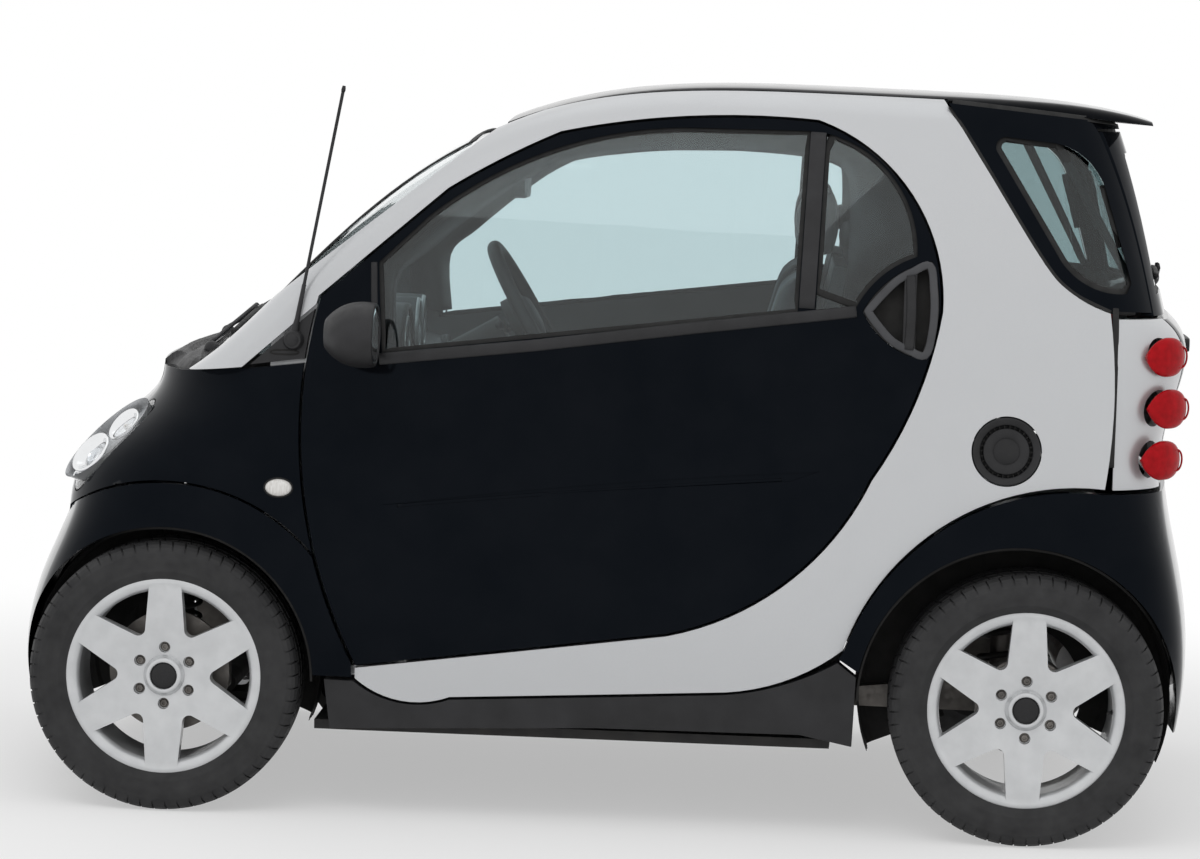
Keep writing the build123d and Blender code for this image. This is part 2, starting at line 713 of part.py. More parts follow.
LAMP_SEAM_X = 1067
TAILGATE_HALF = 560
TAILGATE_LOW_Z = 756
BUMPER_TOP_Z = 748
with BuildPart() as carrier_left:
    add(wall(tail_shapes, 0, PANEL_WALL))
    with BuildSketch(Plane.XZ.offset(TAILGATE_HALF + 5)):
        with Locations(((LAMP_SEAM_X + 1300) / 2, (BUMPER_TOP_Z + 4 + 1106) / 2)):
            Rectangle(1300 - LAMP_SEAM_X, 1106 - BUMPER_TOP_Z - 4)
    extrude(amount=300, mode=Mode.INTERSECT)
with BuildPart() as lamp_carriers:
    add(carrier_left.part)
    mirror(about=Plane.XZ)

TAIL_LAMP_RADIUS = 38
TAIL_LAMP_HEIGHTS = (814, 922, 1030)
TAIL_LAMP_PLACE = (1158, -640)
TAIL_LAMP_HEADING = (0.77, -0.64, 0)
with BuildPart() as tail_lamps:
    for height in TAIL_LAMP_HEIGHTS:
        lamp_axis = Plane(origin=(*TAIL_LAMP_PLACE, height), x_dir=(0, 0, 1), z_dir=TAIL_LAMP_HEADING)
        with BuildSketch(lamp_axis.offset(-30)):
            Circle(TAIL_LAMP_RADIUS)
        extrude(amount=50)
    fillet(faces().filter_by(Plane(origin=(0, 0, 0), z_dir=TAIL_LAMP_HEADING)).edges(), radius=14)
    mirror(about=Plane.XZ)
write(tail_lamps, "tail_lamps")
with BuildPart() as carriers_cut:
    add(lamp_carriers.part)
    for side in (-1, 1):
        for height in TAIL_LAMP_HEIGHTS:
            lamp_axis = Plane(origin=(TAIL_LAMP_PLACE[0], -side * TAIL_LAMP_PLACE[1], height),
                              x_dir=(0, 0, 1), z_dir=(TAIL_LAMP_HEADING[0], -side * TAIL_LAMP_HEADING[1], 0))
            with BuildSketch(lamp_axis.offset(-60)):
                Circle(TAIL_LAMP_RADIUS + 1)
            extrude(amount=120, mode=Mode.SUBTRACT)
write(carriers_cut, "lamp_carriers")

TAILPIPE_PLACE = (-210, 300)
TAILPIPE_RADIUS = 24
with BuildPart() as rear_bumper:
    add(wall(rear_bumper_shapes, REAR_FLARE_OUTSET, BUMPER_WALL))
    with BuildSketch(Plane.XZ.offset(-900)):
        with BuildLine() as edge:
            Line((512, 383), (524, 404))
            ThreePointArc((524, 404), (704, 651), (1048, 745))
            Polyline((1048, 745), (1400, 748), (1400, 240), (1150, 240), (1100, 300), (900, 400), (600, 400),
                     (554, 356), (512, 383))
        make_face(edge.edges())
    extrude(amount=1800, mode=Mode.INTERSECT)
    with BuildSketch(Plane.XZ.offset(-900)):
        with Locations(REAR_ARCH_CENTRE):
            Circle(REAR_ARCH_RADIUS)
    extrude(amount=1800, mode=Mode.SUBTRACT)
    with BuildSketch(Plane.YZ.offset(1150)):
        with Locations(TAILPIPE_PLACE):
            Circle(TAILPIPE_RADIUS + 8)
    extrude(amount=200, mode=Mode.SUBTRACT)
write(rear_bumper, "rear_bumper")

# ----------------------------------------------------------------- tailgate and glass hatch
with BuildPart() as tailgate:
    add(wall(tail_shapes, 0, PANEL_WALL))
    with BuildSketch(Plane.YZ.offset(1000)):
        with Locations((0, (TAILGATE_LOW_Z + 1104) / 2)):
            Rectangle(2 * TAILGATE_HALF, 1104 - TAILGATE_LOW_Z)
    extrude(amount=400, mode=Mode.INTERSECT)
write(tailgate, "tailgate")

with BuildPart() as hatch_frame:
    add(wall(rear_top_shapes, 0, PANEL_WALL))
    with BuildSketch(Plane.YZ.offset(1000)):
        hatch_outline(5)
    extrude(amount=300, mode=Mode.INTERSECT)
    with BuildSketch(Plane.YZ.offset(1000)):
        hatch_outline(50)
    extrude(amount=300, mode=Mode.SUBTRACT)
write(hatch_frame, "hatch_frame")

with BuildPart() as hatch_glass:
    add(wall(rear_top_shapes, GLASS_SET_IN, GLASS_SET_IN + GLASS_THICKNESS))
    with BuildSketch(Plane.YZ.offset(1000)):
        hatch_outline(51)
    extrude(amount=300, mode=Mode.INTERSECT)
write(hatch_glass, "hatch_glass")

# ----------------------------------------------------------------- doors
with BuildPart() as door_swage:
    add(wall(cabin_shapes, 0, SWAGE_DEPTH))
    with BuildSketch(Plane.XZ.offset(LEFT_FACE)):
        with BuildLine() as edge:
            ThreePointArc((-456, 668), (-30, 712), (397, 749))
            Line((397, 749), (459, 772))
            ThreePointArc((459, 772), (44, 734), (-456, 668))
        make_face(edge.edges())
    extrude(amount=LEFT_DEPTH, mode=Mode.INTERSECT)

with BuildPart() as door_left:
    add(wall(cabin_shapes, 0, DOOR_WALL))
    with BuildSketch(Plane.XZ.offset(LEFT_FACE)):
        door_outline()
    extrude(amount=LEFT_DEPTH, mode=Mode.INTERSECT)
    with BuildSketch(Plane.XZ.offset(LEFT_FACE)):
        main_window_outline()
        rear_window_outline()
        handle_outline()
    extrude(amount=LEFT_DEPTH, mode=Mode.SUBTRACT)
    add(door_swage.part, mode=Mode.SUBTRACT)

with BuildPart() as door_glass_left:
    add(wall(cabin_shapes, GLASS_SET_IN, GLASS_SET_IN + GLASS_THICKNESS))
    with BuildSketch(Plane.XZ.offset(LEFT_FACE)):
        main_window_outline()
        rear_window_outline()
        offset(amount=-1)
    extrude(amount=LEFT_DEPTH, mode=Mode.INTERSECT)

GRIP_X = (621, 647)
GRIP_Z = (1030, 1177)
with BuildPart() as door_handle_left:
    add(wall(cabin_shapes, 0, CELL_WALL))
    with BuildSketch(Plane.XZ.offset(LEFT_FACE)):
        handle_outline()
        offset(amount=-1)
    extrude(amount=LEFT_DEPTH, mode=Mode.INTERSECT)
with BuildPart() as handle_recess:
    add(wall(cabin_shapes, 0, FRAME_WALL))
    with BuildSketch(Plane.XZ.offset(LEFT_FACE)):
        handle_outline()
        offset(amount=-15)
    extrude(amount=LEFT_DEPTH, mode=Mode.INTERSECT)
    with BuildSketch(Plane.XZ.offset(LEFT_FACE)):
        with Locations(((GRIP_X[0] + GRIP_X[1]) / 2, sum(GRIP_Z) / 2)):
            Rectangle(GRIP_X[1] - GRIP_X[0], 300)
    extrude(amount=LEFT_DEPTH, mode=Mode.SUBTRACT)
with BuildPart() as finger_gap:
    add(wall(cabin_shapes, GLASS_SET_IN + GLASS_THICKNESS, FRAME_WALL))
    with BuildSketch(Plane.XZ.offset(LEFT_FACE)):
        handle_outline()
        offset(amount=-15)
    extrude(amount=LEFT_DEPTH, mode=Mode.INTERSECT)
with BuildPart() as handle_left:
    add(door_handle_left.part)
    add(handle_recess.part, mode=Mode.SUBTRACT)
    add(finger_gap.part, mode=Mode.SUBTRACT)

MIRROR_CENTRE = (-505, -838, 1030)
with BuildPart() as mirror_left:
    with BuildSketch(Plane.YZ.offset(MIRROR_CENTRE[0] + 40)):
        with Locations((MIRROR_CENTRE[1], MIRROR_CENTRE[2])):
            Ellipse(92, 66)
    with BuildSketch(Plane.YZ.offset(MIRROR_CENTRE[0] - 10)):
        with Locations((MIRROR_CENTRE[1], MIRROR_CENTRE[2])):
            Ellipse(90, 65)
    with BuildSketch(Plane.YZ.offset(MIRROR_CENTRE[0] - 62)):
        with Locations((MIRROR_CENTRE[1], MIRROR_CENTRE[2])):
            Ellipse(40, 30)
    loft()
    with BuildSketch(Plane.XZ.offset(680)):
        with Locations((MIRROR_CENTRE[0], MIRROR_CENTRE[2] - 20)):
            Ellipse(30, 24)
    extrude(amount=110)
    add(cabin_shapes[0], mode=Mode.SUBTRACT)

for name, piece in (("door", door_left), ("door_glass", door_glass_left), ("door_handle", handle_left),
                    ("door_mirror", mirror_left)):
    write(piece, f"{name}_left")
    with BuildPart() as twin:
        mirror(piece.part, about=Plane.XZ)
    write(twin, f"{name}_right")

# ----------------------------------------------------------------- wheels
RIM_FLANGE_RADIUS = 208
BEAD_RADIUS = 190
BARREL_INNER = 182
RIM_HALF_WIDTH = 76
SPOKE_COUNT = 6
SPOKE_HALF_AT_RIM = 33
SPOKE_HALF_AT_HUB = 43
WINDOW_TIP_ROUND = 15
HUB_RADIUS = 78
BOLT_CIRCLE = 60
BOLT_RECESS_RADIUS = 12
AXLE_RADIUS = 22


def tyre_solid(centre_x, centre_y, width):
    """A tyre ring with bulged sidewalls and rounded shoulders, on the left side of the car."""
    half = width / 2
    with BuildPart() as ring:
        with BuildSketch(Plane.YZ.offset(centre_x)):
            with BuildLine():
                for side in (-1, 1):
                    bead = (centre_y + side * (RIM_HALF_WIDTH + 1), WHEEL_Z + RIM_FLANGE_RADIUS + 2)
                    seat = (centre_y + side * (RIM_HALF_WIDTH - 7), WHEEL_Z + RIM_FLANGE_RADIUS + 1)
                    belly = (centre_y + side * half, WHEEL_Z + 244)
                    crown = (centre_y + side * (half - 20), WHEEL_Z + TYRE_RADIUS - 2)
                    ThreePointArc(bead, (centre_y + side * (half - 3), WHEEL_Z + 224), belly)
                    ThreePointArc(belly, (centre_y + side * (half - 4), WHEEL_Z + 271), crown)
                    Polyline(bead, seat, (seat[0], WHEEL_Z + BEAD_RADIUS + 1))
                ThreePointArc((centre_y - half + 20, WHEEL_Z + TYRE_RADIUS - 2),
                              (centre_y, WHEEL_Z + TYRE_RADIUS),
                              (centre_y + half - 20, WHEEL_Z + TYRE_RADIUS - 2))
                Line((centre_y - RIM_HALF_WIDTH + 7, WHEEL_Z + BEAD_RADIUS + 1),
                     (centre_y + RIM_HALF_WIDTH - 7, WHEEL_Z + BEAD_RADIUS + 1))
            make_face()
        revolve(axis=Axis((centre_x, 0, WHEEL_Z), (0, 1, 0)))
    return ring.part


def spoke_edge(along, half, turn):
    """A point on a spoke's edge, by its distance along the spoke and the spoke's half-width there."""
    lean = math.radians(180 / SPOKE_COUNT)
    return (along * math.cos(lean) + half * math.sin(lean),
            turn * (along * math.sin(lean) - half * math.cos(lean)))


def rim_window():
    """One opening between two spokes, pointing along +X from the hub, with rounded corners."""
    near_hub = spoke_edge(78, SPOKE_HALF_AT_HUB, 1)
    tip = (near_hub[0] - near_hub[1] / math.tan(math.radians(34)), 0)
    with BuildLine() as edge:
        Polyline(tip, spoke_edge(205, SPOKE_HALF_AT_RIM, 1), spoke_edge(205, SPOKE_HALF_AT_RIM, -1),
                 close=True)
    with BuildSketch(mode=Mode.PRIVATE) as shape:
        make_face(edge.edges())
        fillet(shape.vertices().sort_by(Axis.X)[0], radius=WINDOW_TIP_ROUND)
    return shape.sketch


def rim_solid(centre_x, centre_y):
    """A cast wheel: a flanged barrel with a dished ring, and six broad spokes standing proud of it."""
    outer = centre_y - RIM_HALF_WIDTH
    back = centre_y + RIM_HALF_WIDTH
    axis = Axis((centre_x, 0, WHEEL_Z), (0, 1, 0))
    with BuildPart() as star:
        with BuildSketch(Plane.YZ.offset(centre_x)):
            with BuildLine():
                Line((outer + 1, WHEEL_Z + 200), (outer + 1, WHEEL_Z + 196))
                ThreePointArc((outer + 1, WHEEL_Z + 196), (outer + 5, WHEEL_Z + 130),
                              (outer + 15, WHEEL_Z + 44))
                Polyline((outer + 15, WHEEL_Z + 44), (outer + 9, WHEEL_Z + 40), (outer + 9, WHEEL_Z),
                         (outer + 46, WHEEL_Z), (outer + 46, WHEEL_Z + HUB_RADIUS),
                         (outer + 30, WHEEL_Z + 188), (outer + 5, WHEEL_Z + 189), (outer + 5, WHEEL_Z + 200),
                         (outer + 1, WHEEL_Z + 200))
            make_face()
        revolve(axis=axis)
        face = Plane(origin=(centre_x, outer - 6, WHEEL_Z), x_dir=(1, 0, 0), z_dir=(0, 1, 0))
        with BuildSketch(face):
            for index in range(SPOKE_COUNT):
                add(rim_window(), rotation=index * 360 / SPOKE_COUNT)
        extrude(amount=90, mode=Mode.SUBTRACT)
    with BuildPart() as rim:
        with BuildSketch(Plane.YZ.offset(centre_x)):
            with BuildLine():
                Polyline((outer + 1, WHEEL_Z + 206), (outer + 3, WHEEL_Z + RIM_FLANGE_RADIUS),
                         (outer + 6, WHEEL_Z + RIM_FLANGE_RADIUS), (outer + 6, WHEEL_Z + BEAD_RADIUS),
                         (back - 6, WHEEL_Z + BEAD_RADIUS),
                         (back - 6, WHEEL_Z + RIM_FLANGE_RADIUS), (back, WHEEL_Z + RIM_FLANGE_RADIUS),
                         (back, WHEEL_Z + BARREL_INNER), (outer + 26, WHEEL_Z + BARREL_INNER))
                ThreePointArc((outer + 26, WHEEL_Z + BARREL_INNER), (outer + 6.5, WHEEL_Z + 185.5),
                              (outer + 1, WHEEL_Z + 206))
            make_face()
        revolve(axis=axis)
        add(star.part)
        with BuildSketch(face):
            with PolarLocations(BOLT_CIRCLE, SPOKE_COUNT, start_angle=30):
                Circle(BOLT_RECESS_RADIUS)
        extrude(amount=32, mode=Mode.SUBTRACT)
        with BuildSketch(Plane(origin=(centre_x, outer + 46, WHEEL_Z), x_dir=(1, 0, 0), z_dir=(0, 1, 0))):
            Circle(AXLE_RADIUS + 1)
        extrude(amount=-24, mode=Mode.SUBTRACT)
    return rim.part


def write_pair(piece, name):
    """Write a left-hand piece and its mirror image."""
    piece.label = f"{name}_left"
    export_step(piece, f"parts/{name}_left.step")
    with BuildPart() as twin:
        mirror(piece, about=Plane.XZ)
    write(twin, f"{name}_right")


for end, centre_x, centre_y, width in (("front", -AXLE_X, -FRONT_WHEEL_Y, FRONT_TYRE_WIDTH),
                                       ("rear", AXLE_X, -REAR_WHEEL_Y, REAR_TYRE_WIDTH)):
    write_pair(rim_solid(centre_x, centre_y), f"{end}_rim")
    write_pair(tyre_solid(centre_x, centre_y, width), f"{end}_tyre")

# ----------------------------------------------------------------- front knuckles and subframe
HUB_BACK_Y = -FRONT_WHEEL_Y - RIM_HALF_WIDTH + 46
WHEEL_CENTRE = (-AXLE_X, WHEEL_Z)
BRAKE_DISC_RADIUS = 128
with BuildPart() as knuckle_left:
    for radius, start_y, end_y in ((AXLE_RADIUS, HUB_BACK_Y - 20, HUB_BACK_Y + 40),
                                   (66, HUB_BACK_Y + 1, HUB_BACK_Y + 42),
                                   (BRAKE_DISC_RADIUS, HUB_BACK_Y + 42, HUB_BACK_Y + 54),
                                   (48, HUB_BACK_Y + 54, HUB_BACK_Y + 92)):
        with BuildSketch(Plane.XZ.offset(-end_y)):
            with Locations(WHEEL_CENTRE):
                Circle(radius)
        extrude(amount=end_y - start_y)
    with BuildSketch(Plane.XZ.offset(-HUB_BACK_Y - 92)):
        with Locations((-AXLE_X, WHEEL_Z)):
            RectangleRounded(56, 200, 18)
        with Locations((-AXLE_X + 96, WHEEL_Z + 20)):
            RectangleRounded(60, 120, 14)
        with Locations((-AXLE_X + 50, WHEEL_Z + 10)):
            Rectangle(60, 40)
    extrude(amount=24)
write_pair(knuckle_left.part, "knuckle")

SUBFRAME_X = -AXLE_X + 20
with BuildPart() as front_subframe:
    with BuildSketch(Plane.XY.offset(150)):
        with Locations((SUBFRAME_X, 0)):
            RectangleRounded(300, 640, 40)
            RectangleRounded(180, 460, 30, mode=Mode.SUBTRACT)
    extrude(amount=50)
    for side in (-1, 1):
        with BuildSketch(Plane.XY.offset(160)):
            with BuildLine() as edge:
                Polyline((SUBFRAME_X - 110, side * 300), (-AXLE_X - 22, side * 572),
                         (-AXLE_X + 22, side * 572), (SUBFRAME_X + 120, side * 300), close=True)
            make_face(edge.edges())
            with Locations((SUBFRAME_X, side * 380)):
                Circle(40, mode=Mode.SUBTRACT)
        extrude(amount=22)
    with BuildSketch(Plane.XZ.offset(-340)):
        with Locations((SUBFRAME_X + 60, 222)):
            Circle(24)
    extrude(amount=680)
write(front_subframe, "front_subframe")

with BuildPart() as struts:
    with BuildSketch(Plane.XY.offset(184)):
        with Locations((-AXLE_X, 455)):
            Circle(26)
    extrude(amount=296)
    with BuildSketch(Plane.XY.offset(480)):
        with Locations((-AXLE_X, 455)):
            Circle(45)
    extrude(amount=108)
    mirror(about=Plane.XZ)
write(struts, "front_struts")

# ----------------------------------------------------------------- rear axle, engine, exhaust
REAR_HUB_BACK_Y = -REAR_WHEEL_Y - RIM_HALF_WIDTH + 46
DRUM_RADIUS = 104
SPRING_PLACE = (AXLE_X - 40, 430)
with BuildPart() as rear_axle:
    with BuildSketch(Plane.XZ.offset(-640)):
        with Locations((AXLE_X, WHEEL_Z)):
            Circle(32)
    extrude(amount=1280)
    for side in (-1, 1):
        inner = REAR_HUB_BACK_Y + 70
        with BuildSketch(Plane.XZ.offset(side * inner)):
            with Locations((AXLE_X, WHEEL_Z)):
                Circle(DRUM_RADIUS)
        extrude(amount=-side * (inner - REAR_HUB_BACK_Y - 1))
        with BuildSketch(Plane.XZ.offset(side * REAR_HUB_BACK_Y)):
            with Locations((AXLE_X, WHEEL_Z)):
                Circle(AXLE_RADIUS)
        extrude(amount=side * 18, both=True)
        with BuildSketch(Plane.XZ.offset(-side * 500 - 20)):
            with BuildLine() as edge:
                Polyline((AXLE_X + 30, WHEEL_Z + 34), (AXLE_X - 60, WHEEL_Z + 40),
                         (AXLE_X - 360, WHEEL_Z + 6), (AXLE_X - 360, WHEEL_Z - 34),
                         (AXLE_X - 60, WHEEL_Z - 36), (AXLE_X + 30, WHEEL_Z - 34), close=True)
            make_face(edge.edges())
        extrude(amount=40)
        with BuildSketch(Plane.XY.offset(WHEEL_Z + 24)):
            with Locations((SPRING_PLACE[0], side * SPRING_PLACE[1])):
                Circle(58)
        extrude(amount=14)
        with BuildSketch(Plane.XY.offset(WHEEL_Z + 24)):
            with Locations((SPRING_PLACE[0], side * SPRING_PLACE[1])):
                Circle(24)
        extrude(amount=322)
write(rear_axle, "rear_axle")

with BuildPart() as engine_block:
    with BuildSketch(Plane.XZ.offset(-330)):
        with BuildLine() as edge:
            Polyline((600, 240), (840, 240), (850, 420), (820, 590), (640, 590), (600, 480), close=True)
        make_face(edge.edges())
    extrude(amount=660)
write(engine_block, "engine_block")

with BuildPart() as silencer:
    with BuildSketch(Plane.XZ.offset(-300)):
        with Locations((1090, 330)):
            Ellipse(95, 75)
    extrude(amount=600)
    with BuildSketch(Plane.YZ.offset(1150)):
        with Locations(TAILPIPE_PLACE):
            Circle(TAILPIPE_RADIUS)
            Circle(TAILPIPE_RADIUS - 3, mode=Mode.SUBTRACT)
    extrude(amount=120)
write(silencer, "exhaust_silencer")

# ----------------------------------------------------------------- seats
SEAT_Y = 325
SEAT_WIDTH = 470
with BuildPart() as seat_shells:
    with BuildSketch(Plane.XZ.offset(SEAT_Y - SEAT_WIDTH / 2)):
        with BuildLine() as edge:
            Polyline((-130, 400), (250, 380), (400, 500), (505, 1190), (475, 1195), (345, 560), (230, 440),
                     (-130, 450), close=True)
        make_face(edge.edges())
    extrude(amount=SEAT_WIDTH)
    with BuildSketch(Plane.XY.offset(FLOOR_Z + FLOOR_SHEET)):
        with Locations((60, -SEAT_Y)):
            with GridLocations(300, 360, 2, 2):
                Rectangle(60, 40)
    extrude(amount=200)
    mirror(about=Plane.XZ)
write(seat_shells, "seat_shells")

with BuildPart() as seat_pads:
    with BuildSketch(Plane.XZ.offset(SEAT_Y - SEAT_WIDTH / 2 + 5)):
        with BuildLine() as edge:
            Polyline((-150, 455), (225, 446), (330, 560), (-150, 590), close=True)
        make_face(edge.edges())
        with BuildLine() as edge:
            Polyline((335, 575), (468, 1190), (395, 1190), (225, 600), close=True)
        make_face(edge.edges())
    extrude(amount=SEAT_WIDTH - 10)
    fillet(edges().filter_by(Axis.Y), radius=18)
    mirror(about=Plane.XZ)
write(seat_pads, "seat_pads")

with BuildPart() as head_restraints:
    with BuildSketch(Plane.XZ.offset(SEAT_Y - 130)):
        with BuildLine() as edge:
            Polyline((395, 1205), (480, 1205), (478, 1350), (420, 1360), (388, 1300), close=True)
        make_face(edge.edges())
        fillet(vertices(), radius=20)
    extrude(amount=260)
    mirror(about=Plane.XZ)
write(head_restraints, "head_restraints")

# ----------------------------------------------------------------- dashboard and controls
with BuildPart() as dashboard:
    with BuildSketch(Plane.XZ.offset(-600)):
        with BuildLine() as edge:
            Polyline((-800, 880), (-790, 700), (-560, 620), (-440, 700), (-400, 860), (-440, 940),
                     (-620, 985), (-770, 960), close=True)
        make_face(edge.edges())
        fillet(vertices(), radius=24)
    extrude(amount=1200)
    with BuildSketch(Plane.YZ.offset(-600)):
        with Locations((-325, 990)):
            Ellipse(120, 80)
        with Locations((-60, 1010)):
            Ellipse(45, 60)
        with Locations((60, 1010)):
            Ellipse(45, 60)
    extrude(amount=150)
write(dashboard, "dashboard")

STEERING_CENTRE = (-175, -SEAT_Y, 1048)
STEERING_AXIS = (0.866, 0, 0.5)
COLUMN_PLANE = Plane(origin=STEERING_CENTRE, x_dir=(0, 1, 0), z_dir=STEERING_AXIS)
with BuildPart() as steering_column:
    with BuildSketch(COLUMN_PLANE.offset(-290)):
        Circle(38)
    extrude(amount=225)
    add(dashboard.part, mode=Mode.SUBTRACT)
write(steering_column, "steering_column")

with BuildPart() as steering_wheel:
    with BuildSketch(Plane(origin=STEERING_CENTRE, x_dir=(0, 1, 0), z_dir=(-0.5, 0, 0.866))):
        with Locations((172, 0)):
            Circle(15)
    revolve(axis=Axis(STEERING_CENTRE, STEERING_AXIS))
    with BuildSketch(COLUMN_PLANE.offset(-45)):
        Circle(62)
    extrude(amount=45)
    with BuildSketch(COLUMN_PLANE.offset(-18)):
        Rectangle(330, 46)
        with Locations((0, -80)):
            Rectangle(50, 165)
    extrude(amount=16)
write(steering_wheel, "steering_wheel")

with BuildPart() as interior_mirror:
    with BuildSketch(Plane.YZ.offset(-235)):
        with Locations((0, 1330)):
            SlotOverall(230, 62)
    extrude(amount=22)
    with BuildSketch(Plane.XY.offset(1355)):
        with Locations((-224, 0)):
            Circle(9)
    extrude(amount=150)
    add(cabin_shapes[CLOSE], mode=Mode.INTERSECT)
write(interior_mirror, "interior_mirror")

# ----------------------------------------------------------------- intake, fuel flap, antenna
with BuildPart() as air_intake:
    add(wall(cabin_shapes, 0, FRAME_WALL))
    with BuildSketch(Plane.XZ.offset(LEFT_FACE)):
        with Locations(INTAKE_CENTRE):
            Circle(INTAKE_RADIUS)
    extrude(amount=LEFT_DEPTH, mode=Mode.INTERSECT)
write(air_intake, "air_intake")

FLAP_RADIUS = 53
with BuildPart() as filler_ring:
    add(wall(cabin_shapes, 0, FRAME_WALL))
    with BuildSketch(Plane.XZ.offset(-LEFT_FACE)):
        with Locations(INTAKE_CENTRE):
            Circle(INTAKE_RADIUS)
            Circle(FLAP_RADIUS + 4, mode=Mode.SUBTRACT)
    extrude(amount=-LEFT_DEPTH, mode=Mode.INTERSECT)
write(filler_ring, "filler_ring")

with BuildPart() as fuel_flap:
    add(wall(cabin_shapes, 0, GLASS_SET_IN))
    with BuildSketch(Plane.XZ.offset(-LEFT_FACE)):
        with Locations(INTAKE_CENTRE):
            Circle(FLAP_RADIUS)
    extrude(amount=-LEFT_DEPTH, mode=Mode.INTERSECT)
write(fuel_flap, "fuel_flap")

ANTENNA_FOOT = (-650, -706, 1006)
ANTENNA_TIP = (-564, -640, 1538)
with BuildPart() as antenna:
    with BuildSketch(Plane(origin=ANTENNA_FOOT, x_dir=(0, 1, 0),
                           z_dir=(ANTENNA_TIP[0] - ANTENNA_FOOT[0], ANTENNA_TIP[1] - ANTENNA_FOOT[1],
                                  ANTENNA_TIP[2] - ANTENNA_FOOT[2]))):
        Circle(3.5)
    extrude(amount=math.dist(ANTENNA_FOOT, ANTENNA_TIP))
    with BuildSketch(Plane(origin=ANTENNA_FOOT, x_dir=(1, 0, 0), z_dir=(0, -1, 0)).offset(-14)):
        Circle(17)
    extrude(amount=26)
    add(cabin_shapes[0], mode=Mode.SUBTRACT)
write(antenna, "antenna")
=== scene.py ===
import json
import math

import bmesh
import bpy
from mathutils import Matrix, Vector
from mathutils.bvhtree import BVHTree


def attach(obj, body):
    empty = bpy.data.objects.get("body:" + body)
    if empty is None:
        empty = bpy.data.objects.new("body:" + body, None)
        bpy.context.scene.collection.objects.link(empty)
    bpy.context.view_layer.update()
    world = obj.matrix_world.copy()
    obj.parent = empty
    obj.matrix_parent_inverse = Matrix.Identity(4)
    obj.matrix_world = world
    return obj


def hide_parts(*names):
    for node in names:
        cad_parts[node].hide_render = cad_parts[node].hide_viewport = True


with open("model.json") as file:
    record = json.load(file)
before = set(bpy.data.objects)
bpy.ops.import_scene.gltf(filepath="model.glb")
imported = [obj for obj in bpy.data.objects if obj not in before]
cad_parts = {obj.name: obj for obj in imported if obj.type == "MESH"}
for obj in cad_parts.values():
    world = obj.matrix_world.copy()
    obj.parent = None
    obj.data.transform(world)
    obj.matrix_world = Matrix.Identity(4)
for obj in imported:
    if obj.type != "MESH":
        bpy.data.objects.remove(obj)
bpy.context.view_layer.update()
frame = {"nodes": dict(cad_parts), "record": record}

NODES = frame["nodes"]
SIDES = (("left", -1), ("right", 1))
X_AXIS, Y_AXIS, Z_AXIS = (1, 0, 0), (0, 1, 0), (0, 0, 1)
AXLE_X = 0.906
TYRE_RADIUS = 0.287
WHEEL_Z = TYRE_RADIUS
# each axle's place along the car, its wheels' distance from the middle and its tyres' width
AXLES = {"front": (-AXLE_X, 0.636, 0.175), "rear": (AXLE_X, 0.655, 0.190)}
SEAT_Y = 0.325
# distances within which the CAD meshes' split vertices, and a revolved piece's at its poles, are joined
WELD = 2e-5
POLE_WELD = 1e-6
# what counts as a corner of a pane, and as a face that looks one way
PANE_CORNER = math.radians(50)
LOOKS_THAT_WAY = 0.35


# ------------------------------------------------------------------ materials
def shader(name, color, roughness=0.5, **sockets):
    """A new material with one Principled shader; the other sockets are set by name."""
    material = bpy.data.materials.new(name)
    material.use_nodes = True
    inputs = material.node_tree.nodes["Principled BSDF"].inputs
    inputs["Base Color"].default_value = (*color, 1)
    inputs["Roughness"].default_value = roughness
    for key, value in sockets.items():
        inputs[key.replace("_", " ")].default_value = value
    return material


def add_node(tree, kind, inputs):
    """A new shader node. An input is linked where it is given a socket, and set where it is given a value."""
    node = tree.nodes.new("ShaderNode" + kind)
    for key, value in inputs.items():
        if isinstance(value, bpy.types.NodeSocket):
            tree.links.new(value, node.inputs[key])
        else:
            node.inputs[key].default_value = value
    return node


def add_noise(tree, scale, detail=3.0, kind="noise", stretch=(1, 1, 1)):
    """The output socket of a noise or Voronoi texture in object space."""
    place = tree.nodes.new("ShaderNodeTexCoord").outputs["Object"]
    vector = add_node(tree, "Mapping", {"Vector": place, "Scale": stretch}).outputs["Vector"]
    if kind == "noise":
        return add_node(tree, "TexNoise", {"Vector": vector, "Scale": scale, "Detail": detail}).outputs["Fac"]
    return add_node(tree, "TexVoronoi", {"Vector": vector, "Scale": scale}).outputs["Distance"]


def noise_range(tree, low, high, scale, detail, kind="noise", stretch=(1, 1, 1), from_low=0.3, from_high=0.7):
    """A noise remapped between two limits."""
    noise = add_noise(tree, scale, detail, kind, stretch)
    limits = {"From Min": from_low, "From Max": from_high, "To Min": low, "To Max": high}
    return add_node(tree, "MapRange", {"Value": noise, **limits}).outputs["Result"]


def surface(name, color, roughness, colors, rough=None, bump=None, **sockets):
    """A Principled material varied by noises. colors holds two colours and a noise, rough two limits and a noise,
    and bump a strength, a distance and a noise."""
    material = shader(name, color, roughness, **sockets)
    tree = material.node_tree
    inputs = tree.nodes["Principled BSDF"].inputs
    first, second, *noise = colors
    mix = tree.nodes.new("ShaderNodeMix")
    mix.data_type = "RGBA"
    mix.inputs[6].default_value = (*first, 1)
    mix.inputs[7].default_value = (*second, 1)
    tree.links.new(noise_range(tree, 0, 1, *noise), mix.inputs[0])
    tree.links.new(mix.outputs[2], inputs["Base Color"])
    if rough:
        tree.links.new(noise_range(tree, *rough), inputs["Roughness"])
    if bump:
        strength, distance, *noise = bump
        relief = add_node(tree, "Bump", {"Strength": strength, "Distance": distance, "Height": add_noise(tree, *noise)})
        tree.links.new(relief.outputs["Normal"], inputs["Normal"])
    return material


